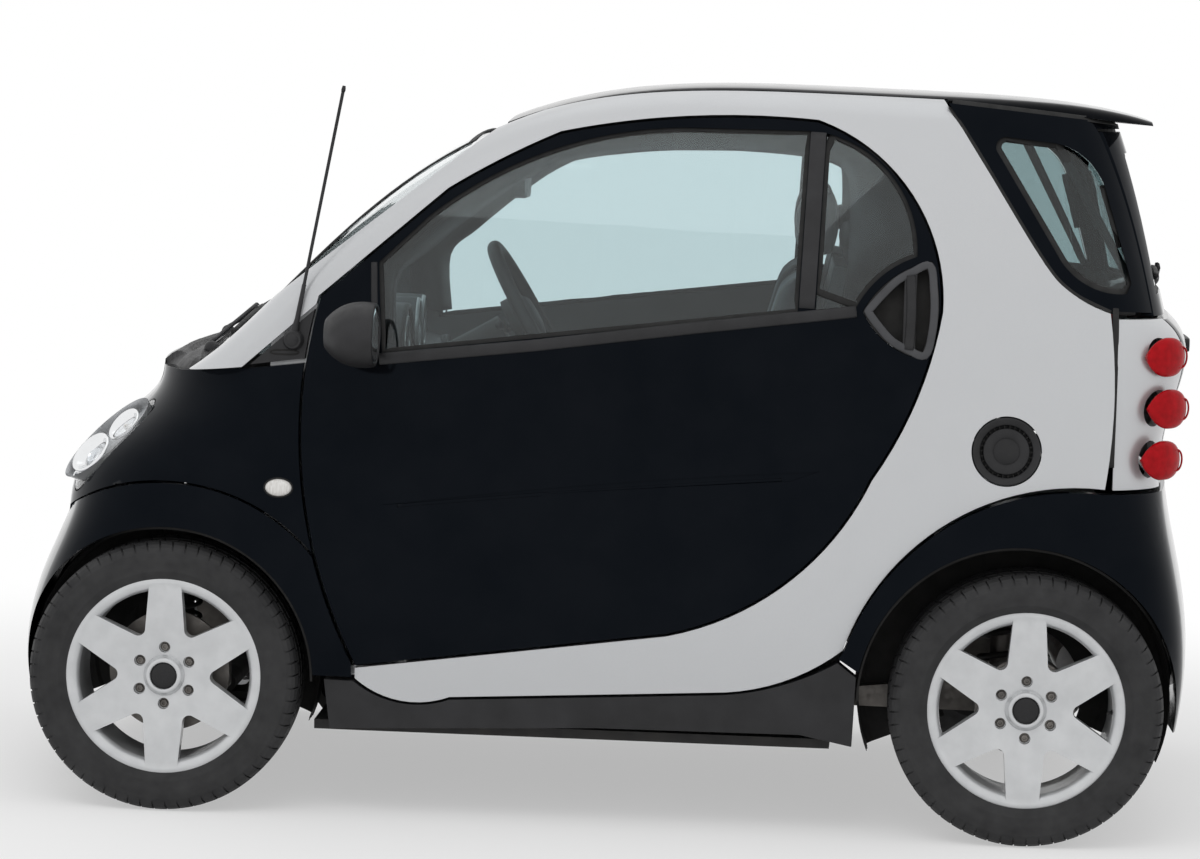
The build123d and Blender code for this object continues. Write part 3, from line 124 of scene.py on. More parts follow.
def black_paint(name="black_paint", ior=1.17):
    """Deep gloss paint with a faint road film and a little unevenness in its shine. Its bluish specular tint is a
    painted reflection of sky.
    """
    return surface(name, (0.002, 0.0024, 0.0034), 0.06, ((0.0016, 0.002, 0.003), (0.0034, 0.0038, 0.005), 9, 4),
                   (0.04, 0.10, 26, 5), (0.02, 0.0002, 900, 1), IOR=ior, Specular_Tint=(0.62, 0.78, 1.0, 1.0))


def silver_paint():
    """Metallic paint: flakes under a clear coat."""
    flakes = (2600, 0, "voronoi", (1, 1, 1), 0.1)
    return surface("silver_paint", (0.55, 0.56, 0.57), 0.36, ((0.60, 0.61, 0.62), (0.50, 0.51, 0.525), *flakes),
                   (0.32, 0.40, 14, 4), Metallic=0.55, Coat_Weight=0.6, Coat_Roughness=0.06)


def grained_plastic(name, color, lighter, roughness, grain=1400):
    return surface(name, color, roughness, (color, lighter, 12, 5), (roughness - 0.06, roughness + 0.08, 40, 4),
                   (0.25, 0.0004, grain, 2, "voronoi"), Specular_IOR_Level=0.35)


def mix_over(material, share, other):
    """Lays another shader over a material's own by a share."""
    tree = material.node_tree
    own = tree.nodes["Principled BSDF"].outputs[0]
    mix = add_node(tree, "MixShader", {0: share, 1: own, 2: other.outputs[0]})
    tree.links.new(mix.outputs[0], tree.nodes["Material Output"].inputs["Surface"])


def clear(name, color, roughness=0.0, ior=1.45):
    """Glass or clear plastic that lets the lamps light what is behind it."""
    m = shader(name, color, roughness, Transmission_Weight=1.0, IOR=ior)
    shadow = m.node_tree.nodes.new("ShaderNodeLightPath").outputs["Is Shadow Ray"]
    mix_over(m, shadow, add_node(m.node_tree, "BsdfTransparent", {"Color": (*color, 1)}))
    return m


def alloy():
    return surface("alloy", (0.66, 0.67, 0.68), 0.34, ((0.55, 0.56, 0.57), (0.62, 0.63, 0.64), 30, 4),
                   (0.30, 0.40, 60, 4), Metallic=0.5, Coat_Weight=0.4, Coat_Roughness=0.1)


def rubber(name="tyre_rubber", color=(0.018, 0.018, 0.019), lighter=(0.032, 0.032, 0.033)):
    return surface(name, color, 0.62, (color, lighter, 16, 6), (0.55, 0.75, 50, 3), (0.15, 0.0003, 700, 3),
                   Specular_IOR_Level=0.35)


def bare_metal(name, color, lighter, roughness, metallic=0.9):
    return surface(name, color, roughness, (color, lighter, 24, 6), (roughness - 0.08, roughness + 0.12, 80, 4),
                   Metallic=metallic)


def fabric(name, color, lighter):
    return surface(name, color, 0.9, (color, lighter, 7, 5), None, (0.5, 0.0008, 900, 1, "voronoi"),
                   Sheen_Weight=0.35, Sheen_Roughness=0.5, Specular_IOR_Level=0.2)


def red_lens():
    return surface("red_lens", (0.36, 0.001, 0.004), 0.06, ((0.32, 0.0008, 0.004), (0.44, 0.002, 0.007), 70, 2),
                   IOR=1.22)


def ribbed_lens():
    """Pale moulded lens plastic with fine ribs under a clear face."""
    ribs = (260, 1, "noise", (1, 1, 0.2))
    return surface("white_lens", (0.72, 0.71, 0.68), 0.15, ((0.62, 0.60, 0.57), (0.80, 0.79, 0.77), *ribs),
                   Coat_Weight=0.6, Coat_Roughness=0.03)


MATERIALS = {
    "black_paint": black_paint(),
    "roof_paint": black_paint("roof_paint", 1.06),
    "silver_paint": silver_paint(),
    "black_plastic": grained_plastic("black_plastic", (0.012, 0.012, 0.013), (0.022, 0.022, 0.024), 0.5),
    "grey_plastic": grained_plastic("grey_plastic", (0.045, 0.046, 0.050), (0.070, 0.071, 0.076), 0.55),
    "pale_trim": grained_plastic("pale_trim", (0.16, 0.165, 0.17), (0.21, 0.215, 0.22), 0.6),
    "liner": grained_plastic("liner", (0.008, 0.008, 0.008), (0.018, 0.017, 0.016), 0.75, 500),
    "tinted_glass": clear("tinted_glass", (0.70, 0.80, 0.815)),
    "dark_glass": clear("dark_glass", (0.42, 0.52, 0.53)),
    "lamp_clear": clear("lamp_clear", (0.94, 0.95, 0.96), 0.0, 1.35),
    "lamp_red": red_lens(),
    "alloy": alloy(),
    "tyre": rubber(),
    "seal": rubber("seal_rubber", (0.008, 0.008, 0.008), (0.014, 0.014, 0.014)),
    "iron": bare_metal("iron", (0.12, 0.112, 0.105), (0.21, 0.195, 0.18), 0.45, 0.7),
    "steel": bare_metal("steel", (0.33, 0.33, 0.34), (0.45, 0.44, 0.43), 0.35),
    "chrome": bare_metal("chrome", (0.80, 0.81, 0.82), (0.86, 0.87, 0.88), 0.12, 1.0),
    "chassis": grained_plastic("chassis", (0.014, 0.014, 0.015), (0.030, 0.028, 0.026), 0.6, 300),
    "seat_fabric": fabric("seat_fabric", (0.018, 0.019, 0.023), (0.032, 0.034, 0.040)),
    "seat_grey": fabric("seat_grey", (0.10, 0.115, 0.135), (0.15, 0.165, 0.185)),
    "white_lens": ribbed_lens(),
    "mirror_glass": bare_metal("mirror_glass", (0.78, 0.80, 0.82), (0.80, 0.82, 0.84), 0.03, 1.0),
    "dial_face": grained_plastic("dial_face", (0.006, 0.006, 0.007), (0.012, 0.012, 0.013), 0.25, 2500),
}
NODE_MATERIAL = {
    "roof_panel": "roof_paint",
    "windscreen": "tinted_glass", "quarter_glass": "dark_glass", "hatch_glass": "dark_glass",
    "interior_mirror": "black_plastic", "exhaust_silencer": "steel",
}
SLOT_OF = {entry["node"]: entry["material_slot"] for entry in frame["record"]["subparts"]}
# widths of the rounded edges, by slot
SOFT_EDGE = {"alloy": 0.003, "black_paint": 0.002, "silver_paint": 0.002, "black_plastic": 0.002,
             "grey_plastic": 0.003, "liner": 0.001, "chassis": 0.002, "iron": 0.002, "steel": 0.002}
# slots whose nodes keep the normals they come with
PANES = ("tinted_glass", "lamp_clear")
# the slots of new pieces whose material isn't one of the record's slots
PIECE_SLOT = {"seal": "black_plastic", "dial_face": "black_plastic", "chrome": "steel", "mirror_glass": "steel",
              "white_lens": "lamp_clear"}


def shade(mesh, smooth):
    """Smooth or flat shading for every face."""
    for polygon in mesh.polygons:
        polygon.use_smooth = smooth


def round_edges(piece, width, angle=35):
    """A bevel on the edges sharper than the angle."""
    bevel = piece.modifiers.new("edge", "BEVEL")
    bevel.width = width
    bevel.segments = 2
    bevel.limit_method = "ANGLE"
    bevel.angle_limit = math.radians(angle)
    bevel.harden_normals = True
    return piece


def finish_node(name, node):
    """A CAD node gets its material, welded corners and a small rounded edge."""
    slot = SLOT_OF[name]
    mesh = node.data
    mesh.materials.clear()
    mesh.materials.append(MATERIALS[NODE_MATERIAL.get(name, slot)])
    if slot in PANES:
        return
    if "custom_normal" in mesh.attributes:
        mesh.attributes.remove(mesh.attributes["custom_normal"])
    shade(mesh, True)
    node.modifiers.new("weld", "WELD").merge_threshold = WELD
    if name == "quarter_panels":  # a bevel shades its long thin faces wrongly
        node.modifiers.new("crisp", "EDGE_SPLIT").split_angle = math.radians(30)
    elif slot in SOFT_EDGE:
        round_edges(node, SOFT_EDGE[slot], 38)


for name, node in NODES.items():
    finish_node(name, node)


# ------------------------------------------------------------------ building helpers
def linked(name, data):
    """A new object in the scene."""
    item = bpy.data.objects.new(name, data)
    bpy.context.scene.collection.objects.link(item)
    return item


def new_piece(name, vertices, faces, material="black_plastic", body="body", slot=None, smooth=True):
    """A mesh piece that rides on a body; the slot worked out from its material, or given, is not used."""
    slot = slot or PIECE_SLOT.get(material, material)
    mesh = bpy.data.meshes.new(name)
    mesh.from_pydata(vertices, [], faces)
    mesh.validate()
    mesh.update()
    shade(mesh, smooth)
    mesh.materials.append(MATERIALS[material])
    piece = linked(name, mesh)
    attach(piece, body)
    return piece


def face_outward(piece, weld=0.0):
    """Makes every face of a closed piece point out of it."""
    mesh = bmesh.new()
    mesh.from_mesh(piece.data)
    if weld:
        bmesh.ops.remove_doubles(mesh, verts=mesh.verts, dist=weld)
    bmesh.ops.recalc_face_normals(mesh, faces=mesh.faces)
    mesh.to_mesh(piece.data)
    mesh.free()
    return piece


def turns(count):
    """Angles of even steps round a circle."""
    return [2 * math.pi * k / count for k in range(count)]


def grid_faces(rings, width, closed=True, looped=False, start=0, ring_first=False, caps=False):
    """Quads between rings of vertices. closed joins a ring's two ends, looped joins the last ring to the first,
    ring_first turns the quads over, and caps fills the end rings."""
    faces = []
    for ring in range(rings if looped else rings - 1):
        a, b = start + ring * width, start + (ring + 1) % rings * width
        for k in range(width if closed else width - 1):
            up = (k + 1) % width
            faces.append((a + k, a + up, b + up, b + k) if ring_first else (a + k, b + k, b + up, a + up))
    if caps:
        faces += [tuple(range(ring, ring + width)) for ring in (start, start + (rings - 1) * width)]
    return faces


def sheet_faces(columns, width):
    """Faces of a thin sheet; each of its columns holds the vertices of its front and then of its back."""
    faces = []
    stride = width * 2
    for column in range(columns - 1):
        a, b = column * stride, (column + 1) * stride
        for row in range(width - 1):
            for k in (row, width + row):
                faces.append((a + k, b + k, b + k + 1, a + k + 1))
        for k in (0, width - 1):
            faces.append((a + k, b + k, b + width + k, a + width + k))
    for a in (0, (columns - 1) * stride):
        faces.append((*range(a, a + width), *reversed(range(a + width, a + stride))))
    return faces


def revolved(name, profile, centre, axis, steps, closed=True, **looks):
    """Spins a profile of (radius, height along the axis) points about an axis through the centre."""
    direction = Vector(axis).normalized()
    first = direction.orthogonal().normalized()
    second = direction.cross(first)
    vertices = []
    for angle in turns(steps):
        spoke = first * math.cos(angle) + second * math.sin(angle)
        vertices += [Vector(centre) + spoke * radius + direction * height for radius, height in profile]
    faces = grid_faces(steps, len(profile), closed, looped=True)
    return face_outward(new_piece(name, vertices, faces, **looks), weld=POLE_WELD)


def skin_tree(*names):
    """A search tree over the faces of CAD nodes."""
    vertices, faces = [], []
    for name in names:
        start = len(vertices)
        mesh = NODES[name].data
        vertices += [vertex.co.copy() for vertex in mesh.vertices]
        faces += [tuple(start + index for index in polygon.vertices) for polygon in mesh.polygons]
    return BVHTree.FromPolygons(vertices, faces)


def meet(tree, start, direction):
    """The point where a line meets a skin, and the normal there that faces back along the line."""
    place, normal, _, _ = tree.ray_cast(Vector(start), Vector(direction))
    if place is None:
        return None
    return place, -normal if normal.dot(Vector(direction)) > 0 else normal


def on_side(tree, x, z, side):
    """Where a line from the side, level and square to the car, meets the skin."""
    return meet(tree, (x, side * 2, z), (0, -side, 0))


def on_top(tree, x, y):
    """Where a plumb line meets the skin from above."""
    return meet(tree, (x, y, 3), (0, 0, -1))


def on_tail(tree, y, z):
    """Where a level line from behind meets the skin."""
    return meet(tree, (3, y, z), (-1, 0, 0))


def resample(points, step):
    """Even steps along a chain of points."""
    out = [Vector(points[0])]
    for start, end in zip(points, points[1:]):
        start, end = Vector(start), Vector(end)
        count = max(1, round((end - start).length / step))
        out += [start.lerp(end, (index + 1) / count) for index in range(count)]
    return out


def left_of(line, index):
    """The direction square to a flat line at one of its points."""
    before, after = line[max(0, index - 1)], line[min(len(line) - 1, index + 1)]
    along = (after - before).normalized()
    return Vector((-along.y, along.x, 0))


def sweep(name, path, normals, profile, closed=False, **looks):
    """Carries a closed profile of (across, out) points along a path on a surface."""
    count = len(path)
    vertices = []
    for index, (place, normal) in enumerate(zip(path, normals)):
        before = path[index - 1] if index or closed else path[index]
        after = path[(index + 1) % count] if index + 1 < count or closed else path[index]
        across = normal.cross((after - before).normalized()).normalized()
        vertices += [place + across * u + normal * v for u, v in profile]
    faces = grid_faces(count, len(profile), looped=closed, caps=not closed)
    return face_outward(new_piece(name, vertices, faces, **looks))


def laid_strip(name, hits, profile, lift=0.0, **looks):
    """A strip that follows points on a skin at a height above it; the lines that missed are left out."""
    hits = [hit for hit in hits if hit]
    path = [place + normal * lift for place, normal in hits]
    return sweep(name, path, [normal for _, normal in hits], profile, **looks)


def side_strip(name, tree, points, side, profile, step=0.02, **looks):
    """A moulding along points (x, z) of the car's side."""
    line = resample([(x, z, 0) for x, z in points], step)
    return laid_strip(name, [on_side(tree, point.x, point.y, side) for point in line], profile, **looks)


def half_round(width, height, steps=6):
    """A low rounded moulding's profile, with its foot a little below the surface."""
    half = width / 2
    crown = [(half * math.cos(math.pi * k / steps), height * math.sin(math.pi * k / steps)) for k in range(steps + 1)]
    return crown + [(-half, -0.002), (half, -0.002)]


def smooth_path(points, steps=8):
    """A Catmull-Rom curve through (x, z) points."""
    padded = [points[0], *points, points[-1]]
    out = []
    for a, b, c, d in zip(padded, padded[1:], padded[2:], padded[3:]):
        for step in range(steps):
            t = step / steps
            out.append(tuple(0.5 * (2 * q + (r - p) * t + (2 * p - 5 * q + 4 * r - s) * t * t
                                    + (3 * q - p - 3 * r + s) * t ** 3) for p, q, r, s in zip(a, b, c, d)))
    return [*out, points[-1]]


def pane_rims(name, outward):
    """Loops of points and normals round the outer edge of a thin pane."""
    mesh = bmesh.new()
    mesh.from_mesh(NODES[name].data)
    bmesh.ops.remove_doubles(mesh, verts=mesh.verts, dist=WELD)
    mesh.normal_update()
    links = {}
    for edge in mesh.edges:
        if len(edge.link_faces) != 2:
            continue
        first, second = edge.link_faces
        if first.normal.angle(second.normal, 0) < PANE_CORNER:
            continue
        a, b = edge.verts
        toward = outward((a.co + b.co) / 2).normalized()
        face = first if first.normal.dot(toward) > second.normal.dot(toward) else second
        if face.normal.dot(toward) < 0.5:
            continue
        links.setdefault(a, []).append((b, face.normal.copy()))
        links.setdefault(b, []).append((a, face.normal.copy()))
    loops = []
    unused = set(links)
    while unused:
        here = min(unused, key=lambda v: v.index)
        loop = []
        while here in unused:
            unused.discard(here)
            loop.append((here.co.copy(), links[here][0][1]))
            here = next((vertex for vertex, _ in links[here] if vertex in unused), None)
        if len(loop) > 5:
            loops.append(loop)
    mesh.free()
    return loops


# ------------------------------------------------------------------ wheels
PITCHES = 64
TREAD_DEPTH = 0.0065
CROWN_DROP = 0.002


def tread_profile(half):
    """Across-and-radius points round a tyre's section, each marked as sidewall, rib or groove."""
    side = [(0.069, 0.192, "wall"), (0.0765, 0.2095, "wall"), (half - 0.0040, 0.2215, "wall"),
            (half - 0.0030, 0.2240, "wall"), (half - 0.0034, 0.2265, "wall"), (half - 0.0006, 0.238, "wall"),
            (half, 0.2440, "wall"), (half - 0.0006, 0.252, "wall"), (half - 0.0020, 0.260, "wall"),
            (half - 0.0016, 0.2625, "wall"), (half - 0.0032, 0.2650, "wall"), (half - 0.0052, 0.2725, "shoulder"),
            (half - 0.0105, 0.2795, "shoulder"), (half - 0.0200, 0.2850, "shoulder")]
    tread = []
    edges = [half - 0.030, half - 0.038, 0.026, 0.018]
    for outer, inner in zip(edges[::2], edges[1::2]):
        tread += [(outer + 0.0003, "shoulder" if outer > 0.04 else "rib"), (outer - 0.0003, "groove"),
                  (inner + 0.0003, "groove"), (inner - 0.0003, "rib")]
    crown = [(u, TYRE_RADIUS - CROWN_DROP * (u / (half - 0.02)) ** 2, kind) for u, kind in tread]
    right = side + crown + [(0.006, TYRE_RADIUS, "rib")]
    return right + [(-u, r, kind) for u, r, kind in reversed(right)]


def make_tyre(end, side):
    """A tyre with four grooves, shoulder blocks and staggered cuts in its ribs."""
    label, sign = side
    name = f"{end}_tyre_{label}"
    centre_x, centre_y, width = AXLES[end]
    profile = tread_profile(width / 2)
    steps = [(0.0, False), (0.44, False), (0.45, True), (0.55, True), (0.56, False), (0.86, False), (0.87, True),
             (0.985, True)]
    vertices = []
    for pitch in range(PITCHES):
        for share, cut in steps:
            for u, radius, kind in profile:
                slant = 0.5 * (abs(u) / 0.08) * (1 if u > 0 else -1)
                angle = 2 * math.pi * (pitch + share + slant) / PITCHES
                if kind == "groove":
                    radius -= TREAD_DEPTH
                elif cut and share > 0.8 and kind == "shoulder":
                    radius -= 0.0045 if radius < 0.284 else 0.0055
                elif cut and share < 0.8 and kind == "rib":
                    radius -= 0.003
                vertices.append((centre_x + radius * math.cos(angle), sign * centre_y + u,
                                 WHEEL_Z + radius * math.sin(angle)))
    count = PITCHES * len(steps)
    kinds = [kind for _, _, kind in profile]
    smooth = [kind == "wall" and up in ("wall", "shoulder") for kind, up in zip(kinds, kinds[1:] + kinds[:1])]
    piece = new_piece(f"{name}_treaded", vertices, grid_faces(count, len(profile), looped=True), "tyre",
                      f"{end}_wheel_{label}")
    for polygon, flag in zip(piece.data.polygons, smooth * count):
        polygon.use_smooth = flag
    face_outward(piece)
    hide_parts(name)


def make_wheel_trim(end, side):
    """The hub cap with its bright ring, six bolts and a valve."""
    label, sign = side
    body = f"{end}_wheel_{label}"
    centre_x, centre_y, _ = AXLES[end]
    centre = Vector((centre_x, sign * (centre_y + 0.076), WHEEL_Z))
    out = (0, sign, 0)
    revolved(f"cap_ring_{end}_{label}", [(0.0285, -0.012), (0.0285, -0.003), (0.0300, -0.0012), (0.0350, -0.0022),
             (0.0390, -0.0060), (0.0395, -0.0120)], centre, out, 64, material="alloy", body=body)
    revolved(f"cap_disc_{end}_{label}", [(0.0, -0.012), (0.0, -0.0030), (0.010, -0.0031), (0.020, -0.0036),
             (0.0262, -0.0048), (0.0280, -0.0066), (0.0280, -0.012)], centre, out, 48, material="dial_face", body=body)
    vertices, faces = [], []
    rings = [(0.0105, -0.030), (0.0105, -0.0245), (0.0082, -0.0240), (0.0082, -0.0190), (0.0070, -0.0178),
             (0.0045, -0.0178), (0.0040, -0.0215)]
    for bolt in range(6):
        angle = math.radians(30 + 60 * bolt)
        axis = centre + Vector((0.060 * math.cos(angle), 0, 0.060 * math.sin(angle)))
        faces += grid_faces(len(rings), 24, start=len(vertices), ring_first=True, caps=True)
        for radius, height in rings:
            for turn in turns(24):
                reach = radius
                if radius < 0.009:
                    flat = math.pi / 6 - abs((turn % (math.pi / 3)) - math.pi / 6)
                    reach = radius * math.cos(math.pi / 6) / math.cos(math.pi / 6 - flat)
                vertices.append(axis + Vector((reach * math.cos(turn), sign * height, reach * math.sin(turn))))
    face_outward(new_piece(f"wheel_bolts_{end}_{label}", vertices, faces, "iron", body, smooth=False))
    revolved(f"valve_{end}_{label}", [(0.0, 0.0), (0.0, 0.024), (0.0028, 0.0235), (0.0034, 0.017), (0.0030, 0.016),
             (0.0042, 0.004), (0.0060, 0.0)], centre + Vector((0.1825, -sign * 0.030, 0)), (-0.55, sign * 0.83, 0), 16,
             material="seal", body=body)


def make_spring(name, centre, low, high, radius, wire, coils):
    """A coil spring standing on Z."""
    steps, around = int(coils * 20), 8
    vertices = []
    for step in range(steps + 1):
        share = step / steps
        angle = 2 * math.pi * coils * share
        height = low + wire + (high - low - 2 * wire) * share
        radial = Vector((math.cos(angle), math.sin(angle), 0))
        for turn in turns(around):
            vertices.append(Vector((*centre, height)) + radial * (radius + wire * math.cos(turn))
                            + Vector((0, 0, wire * math.sin(turn))))
    faces = grid_faces(steps + 1, around, ring_first=True, caps=True)
    face_outward(new_piece(name, vertices, faces, "chassis"))


def make_wheels():
    for side in SIDES:
        label, sign = side
        for end in AXLES:
            make_tyre(end, side)
            make_wheel_trim(end, side)
        make_spring(f"rear_spring_{label}", (AXLE_X - 0.040, sign * 0.430), 0.325, 0.632, 0.046, 0.0065, 6)
        make_spring(f"front_spring_{label}", (-AXLE_X, sign * 0.455), 0.345, 0.480, 0.038, 0.0055, 4)


# ------------------------------------------------------------------ mouldings, seals and glass edges
def ellipse_points(centre, first, second, a, b, count):
    return [centre + first * (a * math.cos(turn)) + second * (b * math.sin(turn)) for turn in turns(count)]


def plane_axes(normal, long_axis):
    """Unit vectors: the normal, the long axis laid in the plane, and the one square to both."""
    normal = Vector(normal).normalized()
    first = Vector(long_axis) - normal * Vector(long_axis).dot(normal)
    first.normalize()
    return normal, first, normal.cross(first)


def dome(name, centre, normal, long_axis, a, b, height, foot=0.004, rings=8, around=48, power=2.0, **looks):
    """A closed cushion-shaped lens or knob: an ellipse a by b, raised by the height along the normal."""
    normal, first, second = plane_axes(normal, long_axis)
    vertices = [Vector(centre) + normal * height]
    for ring in range(1, rings + 1):
        share = ring / rings
        rise = height * max(0.0, 1 - share ** power) ** (1 / power)
        vertices += ellipse_points(Vector(centre) + normal * rise, first, second, a * share, b * share, around)
    vertices += ellipse_points(Vector(centre) - normal * foot, first, second, a, b, around)
    faces = [(0, 1 + k, 1 + (k + 1) % around) for k in range(around)]
    faces += grid_faces(rings + 1, around, start=1)
    faces.append(tuple(range(1 + rings * around, 1 + (rings + 1) * around)))
    return face_outward(new_piece(name, vertices, faces, **looks))


def ring_bead(name, centre, normal, long_axis, a, b, width, height, around=64, **looks):
    """A rounded bead that follows an ellipse on a plane."""
    normal, first, second = plane_axes(normal, long_axis)
    path = ellipse_points(Vector(centre), first, second, a, b, around)
    return sweep(name, path, [normal] * around, half_round(width, height), closed=True, **looks)


BELT_PATH = ((-0.468, 0.972), (-0.310, 0.9915), (-0.150, 1.011), (0.184, 1.059), (0.406, 1.089), (0.523, 1.105))
WAIST_PROFILE = [(0.0125, -0.002), (0.0125, 0.0015), (0.0095, 0.0042), (0.0, 0.0052), (-0.0095, 0.0042),
                 (-0.0125, 0.0015), (-0.0125, -0.002)]
BAR_PROFILE = [(0.0165, -0.001), (0.0165, 0.0016), (0.0150, 0.0026), (-0.0150, 0.0026), (-0.0165, 0.0016),
               (-0.0165, -0.001)]
MIRROR_CENTRE = (-0.505, 0.838, 1.030)
HANDLE_EDGE = ((0.536, 1.106), (0.566, 1.146), (0.600, 1.180), (0.638, 1.201), (0.677, 1.214), (0.690, 1.163),
               (0.695, 1.110), (0.689, 1.058), (0.672, 1.010), (0.632, 1.020), (0.595, 1.037), (0.563, 1.069))
# the handle's upright grip; the handle's other faces take the near-black liner, black plastic darkened as painted shade
# in the recess
GRIP_X = 0.634
GRIP_HALF = 0.0125


def make_door_trim(side):
    """Belt moulding, upright bar, handle lip and grip with painted shade in the handle's recess, pressed crease, mirror
    glass, mirror foot.
    """
    label, sign = side
    body = f"door_{label}"
    skin = skin_tree(body, f"door_glass_{label}", f"door_handle_{label}")
    panel = skin_tree(body)
    handle = skin_tree(f"door_handle_{label}")
    side_strip(f"belt_moulding_{label}", skin, BELT_PATH, sign, WAIST_PROFILE, 0.018, body=body)
    side_strip(f"upright_bar_{label}", panel, ((0.4195, 1.108), (0.426, 1.300), (0.432, 1.472)), sign, BAR_PROFILE,
               body=body)
    middle_x, middle_z = (sum(values) / len(HANDLE_EDGE) for values in zip(*HANDLE_EDGE))
    lip = []
    for x, z in smooth_path([*HANDLE_EDGE, HANDLE_EDGE[0]], 5)[:-1]:
        reach = Vector((middle_x - x, middle_z - z)).normalized() * 0.0105
        lip.append(on_side(handle, x + reach.x, z + reach.y, sign))
    laid_strip(f"handle_lip_{label}", lip, half_round(0.0165, 0.0026), closed=True, material="grey_plastic", body=body,
               slot="black_plastic")
    node = NODES[f"door_handle_{label}"]
    # painted shade: outside the grip, the handle's faces take the near-black liner, which darkens its recess
    node.data.materials.append(MATERIALS["liner"])
    for polygon in node.data.polygons:
        if abs(polygon.center.x - GRIP_X) > GRIP_HALF:
            polygon.material_index = 1
    grip = [on_side(handle, GRIP_X + 0.003 * math.cos(math.pi * (k - 8) / 16), 1.030 + 0.0095 * k, sign)
            for k in range(17)]
    laid_strip(f"handle_grip_{label}", grip, half_round(0.021, 0.0055, 10), body=body)
    crease = [(-0.420 + 0.800 * k / 20, 0.668 + 0.084 * k / 20 + 0.004 * math.sin(math.pi * k / 20)) for k in range(21)]
    side_strip(f"door_crease_{label}", panel, crease, sign, half_round(0.007, 0.0011), material="black_paint",
               body=body)
    x, y, z = MIRROR_CENTRE
    dome(f"mirror_glass_{label}", (x + 0.0402, sign * y, z), X_AXIS, Y_AXIS, 0.084, 0.058, 0.0012, rings=5,
         material="mirror_glass", body=body)
    ring_bead(f"mirror_rim_{label}", (x + 0.0400, sign * y, z), X_AXIS, Y_AXIS, 0.0875, 0.0615, 0.007, 0.0028,
              body=body)
    bar = smooth_path([(-0.474, 0.981), (-0.479, 1.080), (-0.484, 1.172)], 6)
    laid_strip(f"window_front_bar_{label}", [on_side(skin, x - 0.004, z, sign) for x, z in bar],
               half_round(0.014, 0.004), body=body)
    dome(f"mirror_foot_{label}", (-0.5285, sign * 0.700, 1.020), (0, sign, 0.15), (1, 0, 0.2), 0.052, 0.040, 0.030,
         rings=7, foot=0.02, body=body)


def without_spikes(loop):
    """Drops the points at which a loop turns back on itself."""
    sharp = True
    while sharp and len(loop) > 6:
        sharp = False
        for index in range(len(loop)):
            before, here, after = loop[index - 1][0], loop[index][0], loop[(index + 1) % len(loop)][0]
            if (here - before).length < 1e-6 or (here - before).angle(after - here, 0) > math.radians(95):
                loop = loop[:index] + loop[index + 1:]
                sharp = True
                break
    return loop


def make_pane_seals():
    """A dark rubber seal round each pane."""
    door = lambda p: Vector((0, math.copysign(1, p.y), 0.2))
    panes = (("windscreen", "body", 0.022, lambda p: Vector((-0.75, p.y * 0.2, 0.66))),
             ("quarter_glass", "body", 0.022, lambda p: Vector((0.3, math.copysign(1, p.y), 0.1))),
             ("hatch_glass", "hatch", 0.022, lambda p: Vector((1, p.y * 0.3, 0.3))),
             ("door_glass_left", "door_left", 0.016, door), ("door_glass_right", "door_right", 0.016, door))
    for name, body, width, toward in panes:
        for index, loop in enumerate(pane_rims(name, toward)):
            path, normals = zip(*without_spikes(loop))
            sweep(f"{name}_seal_{index}", path, normals, half_round(width, 0.0026), closed=True, material="seal",
                  body=body)


def make_corner_trim(side):
    """The aerial's foot, mast collar and tip, and the slot in the corner trim below it."""
    label, sign = side
    if sign < 0:
        foot = Vector((-0.650, -0.706, 1.006))
        tip = Vector((-0.564, -0.640, 1.538))
        along = (tip - foot).normalized()
        dome("antenna_foot", foot + Vector((0, 0.004, 0)), (0, -1, 0.12), X_AXIS, 0.022, 0.022, 0.020, foot=0.012)
        revolved("antenna_collar", [(0.0, 0.0), (0.0, 0.115), (0.0045, 0.112), (0.0052, 0.040), (0.0080, 0.014),
                 (0.0095, 0.0)], foot + along * 0.006, along, 20)
        revolved("antenna_tip", [(0.0, -0.004), (0.0, 0.0), (0.0025, -0.001), (0.0042, -0.004), (0.0046, -0.010),
                 (0.0036, -0.014)], tip + along * 0.0005, along, 16)
    trim = skin_tree("cowl")
    outline = [on_side(trim, -0.668 + 0.030 * math.copysign(abs(math.cos(angle)) ** 0.6, math.cos(angle)),
                       0.9790 + 0.0045 * math.sin(angle), sign) for angle in turns(28)]
    laid_strip(f"corner_slot_{label}", outline, half_round(0.0035, 0.0012), closed=True, material="liner",
               slot="black_plastic")


# ------------------------------------------------------------------ lamps, intake, wipers, tail
LAMP_CENTRE = Vector((-1.085, 0.545, 0.790))
LAMP_LONG = Vector((0.73, 0.0, 0.70)).normalized()
LAMP_AXIS = Vector((-0.60, 0.50, 0.62)).normalized()


